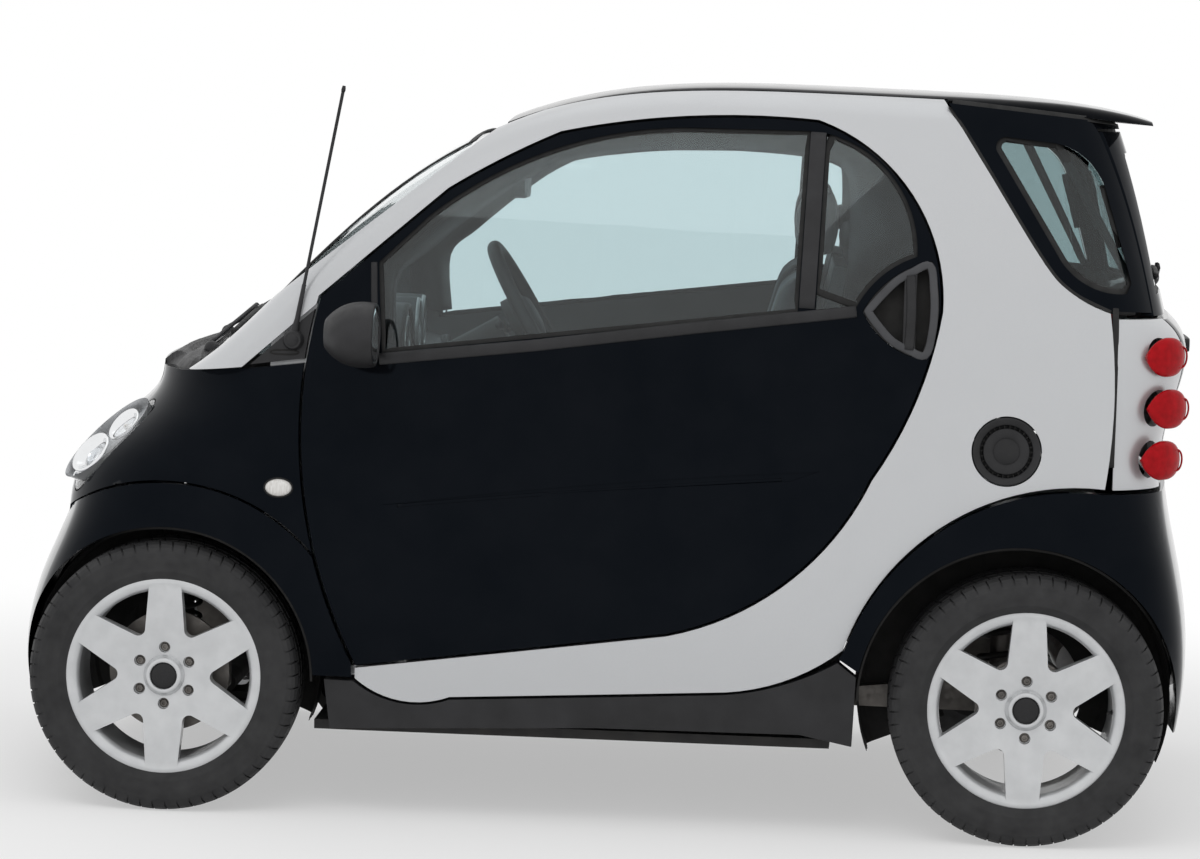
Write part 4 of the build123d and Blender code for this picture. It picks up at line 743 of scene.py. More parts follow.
def make_headlamp(side):
    """Three reflector bowls, a projector lens and two bulbs behind the clear cover."""
    label, sign = side
    centre, axis, along = (Vector((v.x, sign * v.y, v.z)) for v in (LAMP_CENTRE, LAMP_AXIS, LAMP_LONG))
    across = axis.cross(along).normalized()
    base = centre - axis * 0.060
    long, short, around = 0.121, 0.059, 72
    rows = [(long, short, 0.030), (long * 0.93, short * 0.93, 0.008), (long * 0.86, short * 0.86, 0.0),
            (0.060, 0.030, -0.003), (0.01, 0.005, -0.003)]
    vertices = []
    for a, b, height in rows:
        for turn in turns(around):
            ripple = 0.0012 * math.cos(12 * turn) if height == 0.008 else 0.0
            vertices.append(base + along * (a + ripple) * math.cos(turn) + across * (b + ripple) * math.sin(turn)
                            + axis * height)
    faces = grid_faces(len(rows), around, ring_first=True)
    faces.append(tuple(range((len(rows) - 1) * around, len(rows) * around)))
    new_piece(f"lamp_bezel_{label}", vertices, faces, "silver_paint", slot="alloy")
    for name, shift, radius, depth in (("main", -0.048, 0.047, 0.026), ("high", 0.046, 0.038, 0.022),
                                       ("turn", -0.0995, 0.0125, 0.008)):
        place = base + along * shift + axis * 0.006
        bowl = [(radius * share, depth * share ** 2) for share in (0.12, 0.3, 0.5, 0.7, 0.85, 1.0)]
        bowl += [(radius + 0.003, depth), (radius + 0.003, depth - 0.006)]
        revolved(f"reflector_{name}_{label}", bowl, place, axis, 48, closed=False, material="chrome")
        if name == "main":
            dome(f"projector_{label}", place + axis * 0.004, axis, along, 0.024, 0.024, 0.016, material="lamp_clear")
            ring_bead(f"projector_ring_{label}", place + axis * 0.006, axis, along, 0.026, 0.026, 0.006, 0.004,
                      around=48, material="alloy")
        else:
            dome(f"bulb_{name}_{label}", place, axis, along, radius * 0.22, radius * 0.22, depth * 0.8, rings=6,
                 around=24, material="white_lens")


def make_side_indicator(side):
    """The small oval repeater on the front wing."""
    label, sign = side
    place, normal = on_side(skin_tree("front_wings"), -0.671, 0.696, sign)
    level = (1, 0, 0.02)
    dome(f"side_repeater_{label}", place, normal, level, 0.0285, 0.0185, 0.0085, power=2.4, material="white_lens")
    ring_bead(f"side_repeater_rim_{label}", place, normal, level, 0.0300, 0.0200, 0.0035, 0.0022, around=48,
              material="seal")


TAIL_CORNER = (1.029, 0.511, 0.200)
LAMP_HEIGHTS = (0.814, 0.922, 1.030)
LAMP_SHIFT = (0.000, 0.009, 0.001)


def make_tail_lamps():
    """Six bullet-shaped lamps that start in a point on the flank and end in a round lens on the corner."""
    steps, around = 30, 28
    start, end, middle, lens_angle = (math.radians(angle) for angle in (29.5, 62.5, 45.5, 55))
    for label, sign in SIDES:
        for index, (height, shift) in enumerate(zip(LAMP_HEIGHTS, LAMP_SHIFT)):
            corner_x, corner_y, radius = TAIL_CORNER
            corner_x += shift
            vertices = []
            for step in range(steps + 1):
                share = step / steps
                angle = start + (end - start) * share
                offset = (angle - middle) * radius
                if offset < 0:
                    shape = max(0.0, 1 - (offset / (radius * (start - middle))) ** 2) ** 0.62
                else:
                    shape = max(0.0, 1 - (offset / (radius * (end - middle))) ** 2.6) ** 0.5
                half = 0.0415 * shape
                rise = 0.0205 * shape * (0.55 + 0.45 * share)
                out = Vector((math.sin(angle), sign * math.cos(angle), 0))
                foot = Vector((corner_x + radius * math.sin(angle), sign * (corner_y + radius * math.cos(angle)),
                               height))
                for turn in turns(around):
                    lift = rise * math.cos(turn) ** 0.8 if math.cos(turn) > 0 else 0.010 * math.cos(turn)
                    vertices.append(foot + out * lift + Vector((0, 0, half * math.sin(turn))))
            name = f"tail_lamp_{label}_{index}"
            faces = grid_faces(steps + 1, around, ring_first=True, caps=True)
            piece = face_outward(new_piece(name, vertices, faces, "lamp_red"))
            if label == "left" and index == 0:
                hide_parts("tail_lamps")
            out = Vector((math.sin(lens_angle), sign * math.cos(lens_angle), 0))
            lens = Vector((corner_x, sign * corner_y, height)) + out * (radius + 0.0135)
            ring_bead(f"{name}_ring", lens, out, Z_AXIS, 0.0225, 0.0225, 0.003, 0.0016, around=40,
                      material="lamp_red")


INTAKE_X, INTAKE_Z = 0.844, 0.827


def make_air_intake():
    """A bevelled ring round a flat cap, with ribs in the slot between them."""
    place, normal = on_side(skin_tree("air_intake"), INTAKE_X, INTAKE_Z, -1)
    ring = revolved("air_intake_cap", [
        (0.0, -0.0045), (0.0262, -0.0045), (0.0268, -0.0058), (0.0278, -0.0058), (0.0284, -0.0045),
        (0.0465, -0.0045), (0.0480, -0.0056), (0.0485, -0.018), (0.0545, -0.018), (0.0550, -0.0062),
        (0.0568, -0.0048), (0.0668, 0.0012), (0.0690, 0.0018), (0.0704, 0.0008), (0.0708, -0.024), (0.0, -0.024)],
        place, normal, 96)
    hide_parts("air_intake")
    vertices, faces = [], []
    first = Vector(X_AXIS) - normal * normal.x
    first.normalize()
    second = normal.cross(first)
    for angle in turns(30):
        radial = first * math.cos(angle) + second * math.sin(angle)
        around = normal.cross(radial)
        start = len(vertices)
        for height in (-0.0175, -0.0072):
            for r, w in ((0.0484, -0.0009), (0.0551, -0.0009), (0.0551, 0.0009), (0.0484, 0.0009)):
                vertices.append(place + radial * r + around * w + normal * height)
        for corners in ((0, 1, 2, 3), (4, 5, 6, 7), (0, 1, 5, 4), (1, 2, 6, 5), (2, 3, 7, 6), (3, 0, 4, 7)):
            faces.append(tuple(start + corner for corner in corners))
    face_outward(new_piece("air_intake_ribs", vertices, faces, "liner", slot="black_plastic", smooth=False))


BLADE = [(0.006, 0.0), (0.004, 0.007), (0.0015, 0.011), (-0.0015, 0.011), (-0.004, 0.007), (-0.006, 0.0)]
ARM = [(0.009, 0.0), (0.0085, 0.006), (0.005, 0.009), (-0.005, 0.009), (-0.0085, 0.006), (-0.009, 0.0)]


def make_wipers():
    """Two wipers parked on the windscreen and one on the rear glass."""
    screen = skin_tree("windscreen", "cowl", "front_wings", "service_panel")
    for index, (pivot_y, far_y, near_y) in enumerate(((-0.44, -0.50, 0.02), (0.10, 0.02, 0.48))):
        blade = [on_top(screen, -0.800 + 0.02 * math.sin(math.pi * k / 14), far_y + (near_y - far_y) * k / 14)
                 for k in range(15)]
        blade = [hit for hit in blade if hit]
        laid_strip(f"wiper_blade_{index}", blade, BLADE, 0.001, material="seal")
        middle, middle_normal = blade[len(blade) // 2]
        foot, normal = next(hit for hit in (on_top(screen, -0.895 + 0.005 * k, pivot_y) for k in range(20)) if hit)
        start, goal = foot + normal * 0.012, middle + middle_normal * 0.012
        sweep(f"wiper_arm_{index}", [start.lerp(goal, k / 8) for k in range(9)],
              [normal.lerp(middle_normal, k / 8).normalized() for k in range(9)], ARM)
        dome(f"wiper_hub_{index}", foot, normal, X_AXIS, 0.018, 0.018, 0.022, rings=5, around=28)
    glass = skin_tree("hatch_glass")
    blade = [on_tail(glass, -0.02 - 0.36 * k / 12, 1.185 + 0.012 * math.sin(math.pi * k / 12)) for k in range(13)]
    laid_strip("rear_wiper_blade", blade, BLADE, 0.001, material="seal", body="hatch")
    hub, normal = on_tail(glass, 0.0, 1.165)
    start, goal = hub + normal * 0.014, blade[6][0] + blade[6][1] * 0.012
    sweep("rear_wiper_arm", [start.lerp(goal, k / 6) for k in range(7)], [normal] * 7, ARM, body="hatch")
    dome("rear_wiper_hub", hub, normal, Z_AXIS, 0.022, 0.022, 0.026, rings=5, around=28, body="hatch")


def rounded_plate(name, centre, normal, up, width, height, thick, corner, sag=0.0, **looks):
    """A flat plate with rounded corners and a soft edge, bent to a shallow bow."""
    normal, up = Vector(normal).normalized(), Vector(up).normalized()
    across = up.cross(normal).normalized()
    outline = []
    for quarter, (sx, sz) in enumerate(((1, 1), (-1, 1), (-1, -1), (1, -1))):
        for k in range(6):
            angle = math.pi / 2 * (quarter + k / 5)
            outline.append((sx * (width / 2 - corner) + corner * math.cos(angle),
                            sz * (height / 2 - corner) + corner * math.sin(angle)))
    dense = []
    for (x0, z0), (x1, z1) in zip(outline, outline[1:] + outline[:1]):
        cuts = 12 if abs(x1 - x0) > corner * 3 else 1
        dense += [(x0 + (x1 - x0) * k / cuts, z0 + (z1 - z0) * k / cuts) for k in range(cuts)]
    vertices = []
    levels = ((0.0, 0.0), (0.0, thick * 0.7), (0.0012, thick))
    for inset, rise in levels:
        for x, z in dense:
            bow = -sag * (2 * x / width) ** 2
            vertices.append(Vector(centre) + across * (x * (1 - 2 * inset / width))
                            + up * (z * (1 - 2 * inset / height)) + normal * (rise + bow))
    faces = grid_faces(len(levels), len(dense), ring_first=True, caps=True)
    return face_outward(new_piece(name, vertices, faces, smooth=False, **looks))


def make_tail_trim():
    """The tailgate's handle strip and the high brake lamp."""
    place, normal = on_tail(skin_tree("tailgate"), 0, 1.030)
    rounded_plate("tailgate_handle", place, normal, Z_AXIS, 0.420, 0.030, 0.012, 0.012, 0.006, body="tailgate")
    place, normal = on_tail(skin_tree("hatch_frame"), 0, 1.474)
    rounded_plate("high_brake_lamp", place, normal, (-normal.z, 0, normal.x), 0.240, 0.020, 0.004, 0.006, 0.002,
                  material="lamp_red", body="hatch")


def make_wheelhouses():
    """Ribbed liners that close each wheel well on the inside and below the CAD liner's ends."""
    skin = skin_tree("front_bumper", "front_wings", "rear_bumper", "safety_cell", "sill_skirts", "lamp_carriers")
    wells = (("front", (-AXLE_X, WHEEL_Z), 0.3085, 0.405, 0.690), ("rear", (0.886, 0.292), 0.3285, 0.500, 0.700))
    columns, thick = 60, 0.0012
    for end, (centre_x, centre_z), radius, inner_y, outer_y in wells:
        inner = [(0.150, inner_y), (0.190, inner_y), (0.197, inner_y + 0.004), (0.235, inner_y + 0.004),
                 (0.242, inner_y), (radius - 0.016, inner_y), (radius - 0.004, inner_y + 0.004)]
        for label, sign in SIDES:
            vertices = []
            for column in range(columns + 1):
                angle = math.radians(-22 + 224 * column / columns)
                along = Vector((math.cos(angle), 0, math.sin(angle)))
                hit = on_side(skin, centre_x + radius * math.cos(angle), centre_z + radius * math.sin(angle), sign)
                edge = min(outer_y, abs(hit[0].y) - 0.014) if hit else inner_y + 0.10
                edge = max(edge, inner_y + 0.06)
                barrel = [(radius - (0.0025 if step in (3, 4, 7, 8) else 0.0),
                           inner_y + 0.016 + (edge - inner_y - 0.016) * step / 12) for step in range(13)]
                back = [(r, y - thick) for r, y in inner] + [(r + thick, y) for r, y in barrel]
                section = inner + barrel + back[::-1]
                for r, y in section:
                    vertices.append(Vector((centre_x, 0, centre_z)) + along * r + Vector((0, sign * y, 0)))
            faces = grid_faces(columns + 1, len(section), caps=True)
            face_outward(new_piece(f"wheelhouse_{end}_{label}", vertices, faces, "liner", smooth=False))


SEAL_DEPTH = 0.014
SEAM_PROFILE = [(0.013, 0.0), (0.013, 0.003), (0.004, 0.005), (-0.004, 0.005), (-0.013, 0.003), (-0.013, 0.0)]


def make_seam_seals():
    """Rubber seals that lie behind the seams of the quarter panels."""
    panels = skin_tree("quarter_panels")
    carriers = skin_tree("lamp_carriers")
    front = smooth_path([(0.730, 1.531), (0.781, 1.446), (0.914, 1.243), (0.975, 1.176), (1.055, 1.134),
                         (1.110, 1.130)], 6)
    for label, sign in SIDES:
        for name, skin, points, step in (("quarter", panels, front, 0.015),
                                         ("roof", panels, [(0.722, 1.535), (1.120, 1.499)], 0.02),
                                         ("carrier", carriers, [(1.070, 1.108), (1.068, 0.800)], 0.02)):
            side_strip(f"{name}_seal_{label}", skin, points, sign, SEAM_PROFILE, step, lift=-SEAL_DEPTH,
                       material="seal")


def seam_bead(name, points, first_skin, second_skin, sign, offset, width):
    """A black bead that fills the seam between two skins, along points (x, z) of the car's side."""
    line = resample([(x, z, 0) for x, z in points], 0.012)
    path, normals = [], []
    for index, point in enumerate(line):
        across = left_of(line, index) * offset
        first = on_side(first_skin, point.x + across.x, point.y + across.y, sign)
        second = on_side(second_skin, point.x - across.x, point.y - across.y, sign)
        if first and second and abs(first[0].y - second[0].y) < 0.06:
            path.append((first[0] + second[0]) / 2)
            normals.append((first[1] + second[1]).normalized())
    if len(path) > 2:
        sweep(name, path, normals, half_round(width, 0.0004), material="seal")


def make_seam_beads():
    cell = skin_tree("safety_cell")
    panels = skin_tree("quarter_panels")
    roof = skin_tree("roof_panel")
    tail = skin_tree("safety_cell", "lamp_carriers")
    around = skin_tree("safety_cell", "lamp_carriers", "quarter_panels")
    for label, sign in SIDES:
        seam = smooth_path([(0.702, 1.541), (0.766, 1.446), (0.903, 1.233), (0.966, 1.163), (1.051, 1.121)], 8)
        seam_bead(f"quarter_bead_{label}", seam, panels, cell, sign, 0.008, 0.007)
        seam_bead(f"roof_bead_{label}", [(0.712, 1.5460), (1.128, 1.5070)], roof, panels, sign, 0.006, 0.015)
        seam_bead(f"corner_bead_{label}", [(1.046, 1.1225), (1.115, 1.1165)], panels, tail, sign, 0.009, 0.014)
        seam_bead(f"carrier_bead_{label}", [(1.0615, 0.800), (1.0615, 1.130)], around, around, sign, 0.012, 0.014)


def make_cowl_ledge():
    """The black ledge that carries the bonnet's line up to the windscreen, with a row of low ribs."""
    front_skin = skin_tree("service_panel", "front_wings")
    rear_skin = skin_tree("windscreen", "cowl", "safety_cell")
    columns, rows = 72, 12
    top = []
    for column in range(columns + 1):
        y = -0.600 + 1.200 * column / columns
        fronts = [hit[0] for hit in (on_top(front_skin, -1.040 + 0.002 * step, y) for step in range(90))
                  if hit and hit[0].z > 0.86]
        if not fronts:
            continue
        front = fronts[-1]
        rears = (on_top(rear_skin, front.x + 0.006 + 0.002 * step, y) for step in range(80))
        rear = next((hit[0] for hit in rears if hit and hit[0].z > front.z - 0.01), None)
        if rear is not None:
            top.append((front, rear))
    vertices = []
    for front, rear in top:
        for level in (0.0, -0.003):
            for row in range(rows + 1):
                share = row / rows
                rise = 0.014 * math.sin(math.pi * share) + (0.0012 if row in (3, 5, 7, 9) else 0)
                vertices.append(front.lerp(rear, share) + Vector((0, 0, rise + level)))
    face_outward(new_piece("cowl_ledge", vertices, sheet_faces(len(top), rows + 1), smooth=False))


# ------------------------------------------------------------------ cabin
def tint_inside(name, material, toward):
    """Faces of a CAD node that look one way into the cabin take the inner trim's material."""
    mesh = NODES[name].data
    mesh.materials.append(MATERIALS[material])
    for polygon in mesh.polygons:
        if polygon.normal.dot(toward(polygon.center)) > LOOKS_THAT_WAY:
            polygon.material_index = len(mesh.materials) - 1


def make_inner_trim():
    for name in ("door_left", "door_right"):
        tint_inside(name, "grey_plastic", lambda p: Vector((0, -math.copysign(1, p.y), -0.1)))
    tint_inside("safety_cell", "black_plastic", lambda p: Vector((0, -math.copysign(1, p.y), 0)))
    tint_inside("roof_panel", "pale_trim", lambda p: Vector((0, 0, -1)))
    tint_inside("tailgate", "grey_plastic", lambda p: Vector((-1, 0, 0)))
    armrest = [(0.030, 0.0), (0.028, 0.030), (0.016, 0.046), (-0.010, 0.048), (-0.026, 0.034), (-0.032, 0.0)]
    for label, sign in SIDES:
        inner = skin_tree(f"door_{label}")
        hits = [meet(inner, (-0.30 + 0.60 * k / 18, sign * 0.2, 0.700 + 0.02 * math.sin(math.pi * k / 18)),
                     (0, sign, 0)) for k in range(19)]
        laid_strip(f"door_armrest_{label}", hits, armrest, -0.002, material="grey_plastic", body=f"door_{label}")


OPENING_EDGE = ((-0.433, 1.002), (-0.437, 1.136), (-0.373, 1.200), (-0.280, 1.280), (-0.185, 1.350), (-0.079, 1.396),
                (0.078, 1.420), (0.190, 1.426), (0.289, 1.427), (0.397, 1.420), (0.463, 1.407), (0.494, 1.385),
                (0.502, 1.330), (0.502, 1.230), (0.497, 1.120))


def make_pillar_linings():
    """Moulded linings that cover the pillars and the roof rail round the inside of each door opening."""
    edge = resample([(x, z, 0) for x, z in smooth_path(OPENING_EDGE, 5)], 0.016)
    rows = 9

    def near(grid, index, row, spread):
        return [grid[i][r] for i in range(max(0, index - spread), min(len(edge), index + spread + 1))
                for r in range(max(0, row - 1), min(rows, row + 2))]

    for label, sign in SIDES:
        shell = skin_tree(f"door_{label}", f"door_glass_{label}", "safety_cell", "roof_panel")
        places, depths = [], []
        for index, point in enumerate(edge):
            outward = left_of(edge, index)
            reach = 0.090 + 0.110 * min(1.0, max(0.0, (point.x - 0.44) / 0.05))
            line = [point + outward * (reach * row / (rows - 1)) for row in range(rows)]
            hits = [meet(shell, (spot.x, sign * 0.30, spot.y), (0, sign, 0)) for spot in line]
            places.append(line)
            depths.append([abs(hit[0].y) - 0.012 if hit else None for hit in hits])
        known = [value for depth in depths for value in depth if value is not None]
        middle = sum(known) / len(known)
        depths = [[middle if value is None else value for value in depth] for depth in depths]
        lowered = [[min(near(depths, index, row, 2)) for row in range(rows)] for index in range(len(edge))]
        vertices = []
        for index in range(len(edge)):
            for level in (0.0, 0.004):
                for row, spot in enumerate(places[index]):
                    around = near(lowered, index, row, 1)
                    y = min(sum(around) / len(around), lowered[index][row])
                    roll = 0.010 * max(0.0, 1 - row / 1.5) ** 2
                    vertices.append(Vector((spot.x, sign * (y - level + roll), spot.y)))
        face_outward(new_piece(f"pillar_lining_{label}", vertices, sheet_faces(len(edge), rows)))


def make_dashboard():
    """Binnacle, pods, vents, console, shift lever, pedals, and the steering wheel's boss and stalks."""
    face_x = -0.4495
    binnacle = (face_x, -SEAT_Y, 0.990)
    ring_bead("binnacle_rim", binnacle, X_AXIS, Y_AXIS, 0.112, 0.073, 0.014, 0.008)
    dome("binnacle_glass", binnacle, X_AXIS, Y_AXIS, 0.106, 0.067, 0.003, material="dial_face")
    ring_bead("speed_ring", (face_x + 0.0030, -SEAT_Y, 0.988), X_AXIS, Y_AXIS, 0.052, 0.052, 0.004, 0.003,
              around=48, material="silver_paint")
    for index, y in enumerate((-0.060, 0.060)):
        ring_bead(f"pod_rim_{index}", (face_x, y, 1.010), X_AXIS, Z_AXIS, 0.054, 0.040, 0.010, 0.007, around=48,
                  material="silver_paint")
        dome(f"pod_face_{index}", (face_x, y, 1.010), X_AXIS, Z_AXIS, 0.050, 0.036, 0.003, around=40,
             material="dial_face")
    axis = Vector((0.95, 0, 0.30)).normalized()
    for index, place in enumerate(((-0.424, -0.520, 0.905), (-0.424, 0.520, 0.905), (-0.405, -0.120, 0.835),
                                   (-0.405, 0.120, 0.835))):
        place = Vector(place)
        revolved(f"vent_{index}", [(0.0, 0.006), (0.006, 0.0065), (0.0085, 0.004), (0.0088, -0.001), (0.034, -0.001),
                 (0.036, 0.008), (0.041, 0.0105), (0.046, 0.008), (0.048, -0.006), (0.0, -0.006)], place, axis, 48,
                 material="grey_plastic")
        for slat in range(4):
            height = -0.024 + 0.016 * slat
            half = math.sqrt(0.034 ** 2 - height ** 2)
            path = [place + axis * 0.001 + axis.cross(Vector(Y_AXIS)) * -height + Vector((0, half * t, 0))
                    for t in (-1, -0.4, 0.4, 1)]
            sweep(f"vent_{index}_slat_{slat}", path, [axis] * 4, half_round(0.006, 0.004, 4))
    vertices = []
    for x, top, half in ((-0.470, 0.700, 0.105), (-0.420, 0.560, 0.100), (-0.360, 0.400, 0.092),
                         (-0.280, 0.325, 0.086), (-0.120, 0.305, 0.082), (0.040, 0.298, 0.080)):
        vertices += [(x, -half, 0.262), (x, -half, top - 0.020), (x, -half + 0.020, top), (x, half - 0.020, top),
                     (x, half, top - 0.020), (x, half, 0.262)]
    faces = grid_faces(6, 6, ring_first=True, caps=True)
    round_edges(face_outward(new_piece("centre_console", vertices, faces, "grey_plastic")), 0.006)
    revolved("shift_boot", [(0.0, 0.0), (0.045, 0.0), (0.042, 0.012), (0.030, 0.022), (0.022, 0.040), (0.014, 0.055),
             (0.0, 0.056)], (-0.180, 0, 0.304), Z_AXIS, 36, material="seal")
    revolved("shift_lever", [(0.0, 0.0), (0.006, 0.0), (0.006, 0.120), (0.014, 0.128), (0.021, 0.145), (0.023, 0.165),
             (0.018, 0.182), (0.008, 0.190), (0.0, 0.191)], (-0.180, 0, 0.350), (0.05, 0, 1), 32)
    for index, y in enumerate((-0.385, -0.265)):
        rounded_plate(f"pedal_{index}", (-0.556, y, 0.420), (0.8, 0, 0.45), (-0.45, 0, 0.8), 0.062, 0.100, 0.012,
                      0.012, material="seal")
        revolved(f"pedal_arm_{index}", [(0.0, 0.0), (0.008, 0.0), (0.008, 0.230), (0.0, 0.230)], (-0.566, y, 0.420),
                 (-0.28, 0, 1), 12, material="chassis")
    centre = Vector((-0.175, -SEAT_Y, 1.048))
    axis = Vector((0.866, 0, 0.5))
    dome("wheel_boss", centre, axis, Y_AXIS, 0.060, 0.052, 0.016, foot=0.01, power=2.6, material="grey_plastic",
         body="steering_wheel")
    ring_bead("wheel_boss_seam", centre + axis * 0.0085, axis, Y_AXIS, 0.047, 0.040, 0.003, 0.0012, around=48,
              material="seal", body="steering_wheel")
    for index, sign in enumerate((-1, 1)):
        revolved(f"stalk_{index}", [(0.0, 0.0), (0.007, 0.0), (0.0055, 0.030), (0.0055, 0.085), (0.0085, 0.095),
                 (0.0085, 0.128), (0.005, 0.134), (0.0, 0.135)],
                 centre - axis * 0.055 + Vector((0, sign * 0.040, 0.0)), (-0.1, sign, 0.15), 20)


# ------------------------------------------------------------------ seats
CLOTH_FRAMES = 20


def node_islands(name):
    """The separate solids of a CAD node as lists of vertices and faces."""
    mesh = bmesh.new()
    mesh.from_mesh(NODES[name].data)
    bmesh.ops.remove_doubles(mesh, verts=mesh.verts, dist=WELD)
    seen, islands = set(), []
    for seed in mesh.verts:
        if seed in seen:
            continue
        group, stack = [], [seed]
        seen.add(seed)
        while stack:
            here = stack.pop()
            group.append(here)
            for edge in here.link_edges:
                other = edge.other_vert(here)
                if other not in seen:
                    seen.add(other)
                    stack.append(other)
        index = {vertex: place for place, vertex in enumerate(group)}
        faces = [tuple(index[v] for v in face.verts) for face in mesh.faces if face.verts[0] in index]
        islands.append(([vertex.co.copy() for vertex in group], faces))
    mesh.free()
    return islands


def apply_modifiers(piece):
    graph = bpy.context.evaluated_depsgraph_get()
    graph.update()
    made = bpy.data.meshes.new_from_object(piece.evaluated_get(graph))
    piece.modifiers.clear()
    old = piece.data
    piece.data = made
    bpy.data.meshes.remove(old)


def relax(piece, rounds):
    mesh = bmesh.new()
    mesh.from_mesh(piece.data)
    for _ in range(rounds):
        bmesh.ops.smooth_vert(mesh, verts=mesh.verts, factor=0.5, use_axis_x=True, use_axis_y=True, use_axis_z=True)
    mesh.to_mesh(piece.data)
    mesh.free()


def plump(piece, voxel, pressure, cap):
    """Inflates a closed piece as cloth and keeps the result."""
    remesh = piece.modifiers.new("remesh", "REMESH")
    remesh.mode = "VOXEL"
    remesh.voxel_size = voxel
    apply_modifiers(piece)
    before = [vertex.co.copy() for vertex in piece.data.vertices]
    settings = piece.modifiers.new("cloth", "CLOTH").settings
    settings.quality = 6
    settings.mass = 0.4
    settings.use_pressure = True
    settings.uniform_pressure_force = pressure
    settings.effector_weights.gravity = 0
    settings.tension_stiffness = settings.compression_stiffness = 25
    settings.shear_stiffness = 12
    settings.bending_stiffness = 2
    scene = bpy.context.scene
    scene.frame_start, scene.frame_end = 1, CLOTH_FRAMES
    for frame_number in range(1, CLOTH_FRAMES + 1):
        scene.frame_set(frame_number)
    apply_modifiers(piece)
    scene.frame_set(1)
    for vertex, start in zip(piece.data.vertices, before):
        moved = vertex.co - start
        if moved.length > cap:
            vertex.co = start + moved * (cap / moved.length)
    relax(piece, 2)


def subdivide(piece):
    levels = piece.modifiers.new("smooth", "SUBSURF")
    levels.levels = levels.render_levels = 1
    apply_modifiers(piece)
    shade(piece.data, True)


def sew(piece, seams, width, depth):
    """Presses sewn channels into a pad; each seam gives a point's distance from it."""
    normals = [vertex.normal.copy() for vertex in piece.data.vertices]
    for vertex, normal in zip(piece.data.vertices, normals):
        nearest = min(abs(seam(vertex.co)) for seam in seams)
        vertex.co -= normal * depth * math.exp(-(nearest / width) ** 2)


def shrink(points, amount):
    low = Vector(min(p[i] for p in points) for i in range(3))
    high = Vector(max(p[i] for p in points) for i in range(3))
    middle, size = (low + high) / 2, high - low
    return [middle + Vector((p[i] - middle[i]) * (1 - 2 * amount / size[i]) for i in range(3)) for p in points]


def make_seats():
    """Cushions, backrests and head restraints, inflated as cloth, with sewn channels and paler centres."""
    pads = [island for island in node_islands("seat_pads") if sum(p.y for p in island[0]) < 0]
    heads = [island for island in node_islands("head_restraints") if sum(p.y for p in island[0]) < 0]
    pads.sort(key=lambda island: sum(p.z for p in island[0]) / len(island[0]))
    plans = [("seat_cushion", pads[0], "seat_pads", 0.010, 0.012, 4.0, 0.020, 0.60, 0.145,
              [lambda p: p.x - 0.06, lambda p: p.x + 0.075],
              lambda p: abs(p.y + SEAT_Y) < 0.143 and p.z > 0.52),
             ("seat_back", pads[1], "seat_pads", 0.010, 0.012, 4.0, 0.018, 0.55, 0.140,
              [lambda p: p.z - 0.80, lambda p: p.z - 1.00],
              lambda p: abs(p.y + SEAT_Y) < 0.138 and p.x < 0.40),
             ("head_pad", heads[0], "head_restraints", 0.004, 0.008, 4.5, 0.020, 0.80, 0.085, [], lambda p: False)]
    for name, (points, faces), node, inset, voxel, pressure, cap, fill, half, seams, centre in plans:
        mesh = bpy.data.meshes.new(name)
        mesh.from_pydata(shrink(points, inset), [], faces)
        left = linked(f"{name}_left", mesh)
        face_outward(left)
        plump(left, voxel, pressure, cap)
        subdivide(left)
        edges = [lambda p: p.y + SEAT_Y - half, lambda p: p.y + SEAT_Y + half]
        sew(left, edges + seams, 0.0065, 0.006)
        left.data.materials.clear()
        for material in ("seat_fabric", "seat_grey"):
            left.data.materials.append(MATERIALS[material])
        for polygon in left.data.polygons:
            polygon.material_index = 1 if centre(polygon.center) else 0
        right_mesh = left.data.copy()
        for vertex in right_mesh.vertices:
            vertex.co.y = -vertex.co.y
        right_mesh.flip_normals()
        for piece in (left, linked(f"{name}_right", right_mesh)):
            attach(piece, "body")
        if name != "seat_back":
            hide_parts(node)
    for label, sign in SIDES:
        for index, offset in enumerate((-0.055, 0.055)):
            revolved(f"head_post_{label}_{index}", [(0.0, 0.0), (0.0065, 0.0), (0.0065, 0.075), (0.0, 0.075)],
                     (0.437, sign * SEAT_Y + offset, 1.168), (0.03, 0, 1), 20, material="chrome")
        dome(f"belt_guide_{label}", (0.500, sign * 0.600, 1.260), (0, -sign, 0), Z_AXIS, 0.030, 0.018, 0.016,
             around=28)
        dome(f"belt_buckle_{label}", (0.200, sign * 0.082, 0.470), Z_AXIS, X_AXIS, 0.022, 0.012, 0.090,
             around=28, power=6)


# ------------------------------------------------------------------ camera, floor, light
CAMERA_PLACE = (0.3666, -9.0, 1.5569)
CAMERA_YAW = -0.0444
CAMERA_PITCH = -0.0860
CAMERA_ROLL = 0.0323
CAMERA_LENS = 119.8
FLOOR_FILL = 0.45
FADE_START, FADE_END = 1.5, 3.6
FLOOR_REACH = 400


def make_camera():
    ahead = Vector((math.sin(CAMERA_YAW) * math.cos(CAMERA_PITCH), math.cos(CAMERA_YAW) * math.cos(CAMERA_PITCH),
                    math.sin(CAMERA_PITCH)))
    across = Vector((math.cos(CAMERA_YAW), -math.sin(CAMERA_YAW), 0))
    upward = across.cross(ahead)
    right = across * math.cos(CAMERA_ROLL) + upward * math.sin(CAMERA_ROLL)
    up = upward * math.cos(CAMERA_ROLL) - across * math.sin(CAMERA_ROLL)
    data = bpy.data.cameras.new("camera")
    data.sensor_width = 36
    data.lens = CAMERA_LENS
    data.clip_start = 0.1
    data.clip_end = 1000
    camera = linked("camera", data)
    camera.matrix_world = Matrix((*zip(right, up, -ahead, CAMERA_PLACE), (0, 0, 0, 1)))
    bpy.context.scene.camera = camera


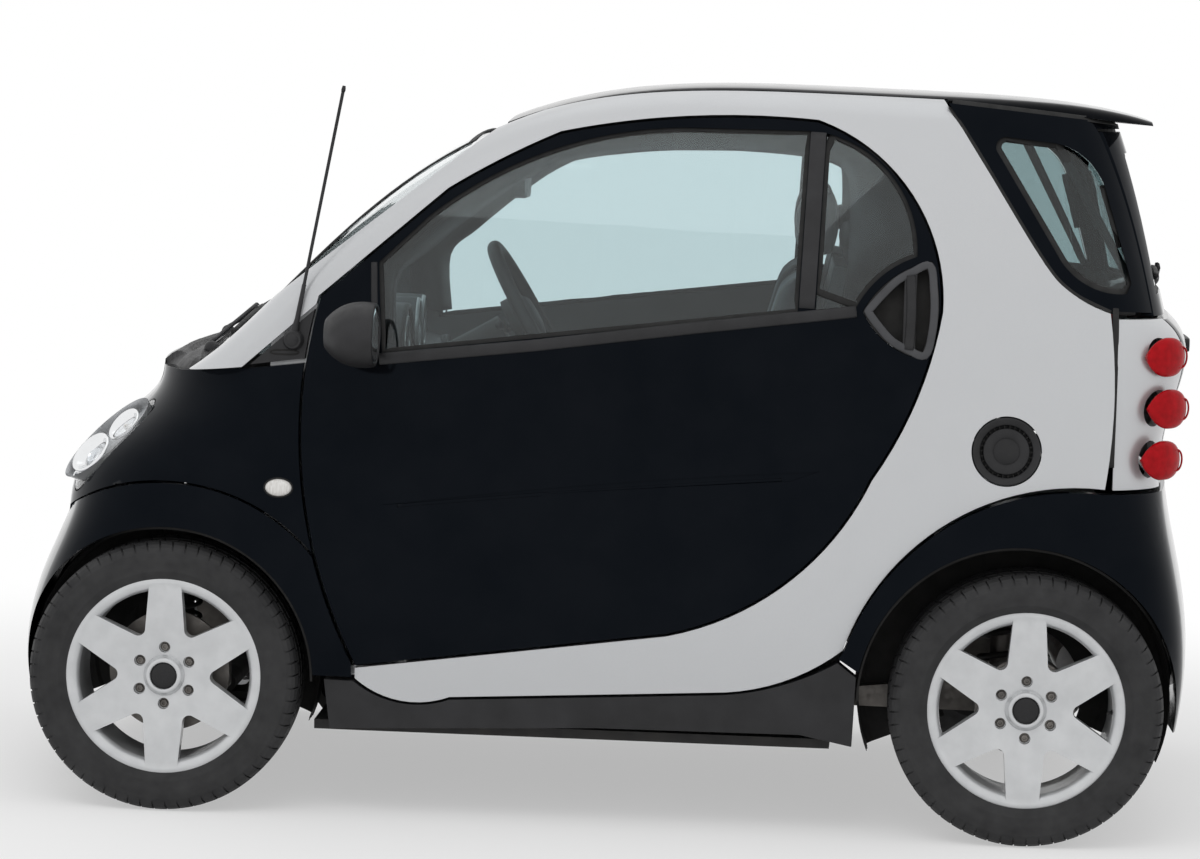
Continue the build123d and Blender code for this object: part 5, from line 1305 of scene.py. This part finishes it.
def seen_rays(tree):
    """1 for the rays that bring a surface to the camera: straight, through glass or off a gloss."""
    path = tree.nodes.new("ShaderNodeLightPath").outputs
    value = path["Is Camera Ray"]
    for kind in ("Is Transmission Ray", "Is Glossy Ray"):
        larger = add_node(tree, "Math", {0: value, 1: path[kind]})
        larger.operation = "MAXIMUM"
        value = larger.outputs[0]
    return value


def floor_material():
    """Pale matt floor that takes the car's shadow and runs out to plain white away from it."""
    m = shader("floor", (0.80, 0.80, 0.80), 0.9, Specular_IOR_Level=0.0)
    tree = m.node_tree
    place = tree.nodes.new("ShaderNodeNewGeometry").outputs["Position"]
    reach = add_node(tree, "VectorMath", {0: place})
    reach.operation = "LENGTH"
    far = add_node(tree, "MapRange", {"Value": reach.outputs["Value"], "From Min": FADE_START, "From Max": FADE_END,
                                      "To Min": FLOOR_FILL})
    far.interpolation_type = "SMOOTHSTEP"
    share = add_node(tree, "Math", {0: far.outputs["Result"], 1: seen_rays(tree)})
    share.operation = "MULTIPLY"
    mix_over(m, share.outputs[0], tree.nodes.new("ShaderNodeEmission"))
    return m


def make_floor():
    mesh = bpy.data.meshes.new("floor")
    corners = ((-1, -1), (1, -1), (1, 1), (-1, 1))
    mesh.from_pydata([(x * FLOOR_REACH, y * FLOOR_REACH, 0) for x, y in corners], [], [(0, 1, 2, 3)])
    floor = linked("floor", mesh)
    mesh.materials.append(floor_material())


def area_light(name, place, target, size, power, color=(1, 1, 1)):
    data = bpy.data.lights.new(name, "AREA")
    data.shape = "RECTANGLE"
    data.size, data.size_y = size
    data.energy = power
    data.color = color
    light = linked(name, data)
    light.location = place
    light.rotation_mode = "QUATERNION"
    light.rotation_quaternion = (Vector(target) - Vector(place)).to_track_quat("-Z", "Y")
    return light


def make_light():
    world = bpy.data.worlds.new("studio")
    world.use_nodes = True
    tree = world.node_tree
    strength = add_node(tree, "MapRange", {"Value": seen_rays(tree), "To Min": 0.78, "To Max": 1.0})
    background = tree.nodes["Background"]
    background.inputs["Color"].default_value = (1, 1, 1, 1)
    tree.links.new(strength.outputs["Result"], background.inputs["Strength"])
    bpy.context.scene.world = world
    key = area_light("key", (-1.5, -5.0, 6.0), (0, 0, 0.6), (5, 3), 105)
    key.visible_glossy = False
    area_light("top", (0.5, 0.5, 6.5), (0, 0, 0.8), (6, 3), 12, (0.95, 0.98, 1.0))


make_camera()
make_floor()
make_light()
make_wheels()
make_pane_seals()
for side in SIDES:
    make_door_trim(side)
    make_corner_trim(side)
    make_headlamp(side)
    make_side_indicator(side)
make_tail_lamps()
make_air_intake()
make_wipers()
make_tail_trim()
make_wheelhouses()
make_seam_seals()
make_seam_beads()
make_cowl_ledge()
make_inner_trim()
make_pillar_linings()
make_dashboard()
make_seats()
bpy.context.scene.view_settings.view_transform = "Standard"
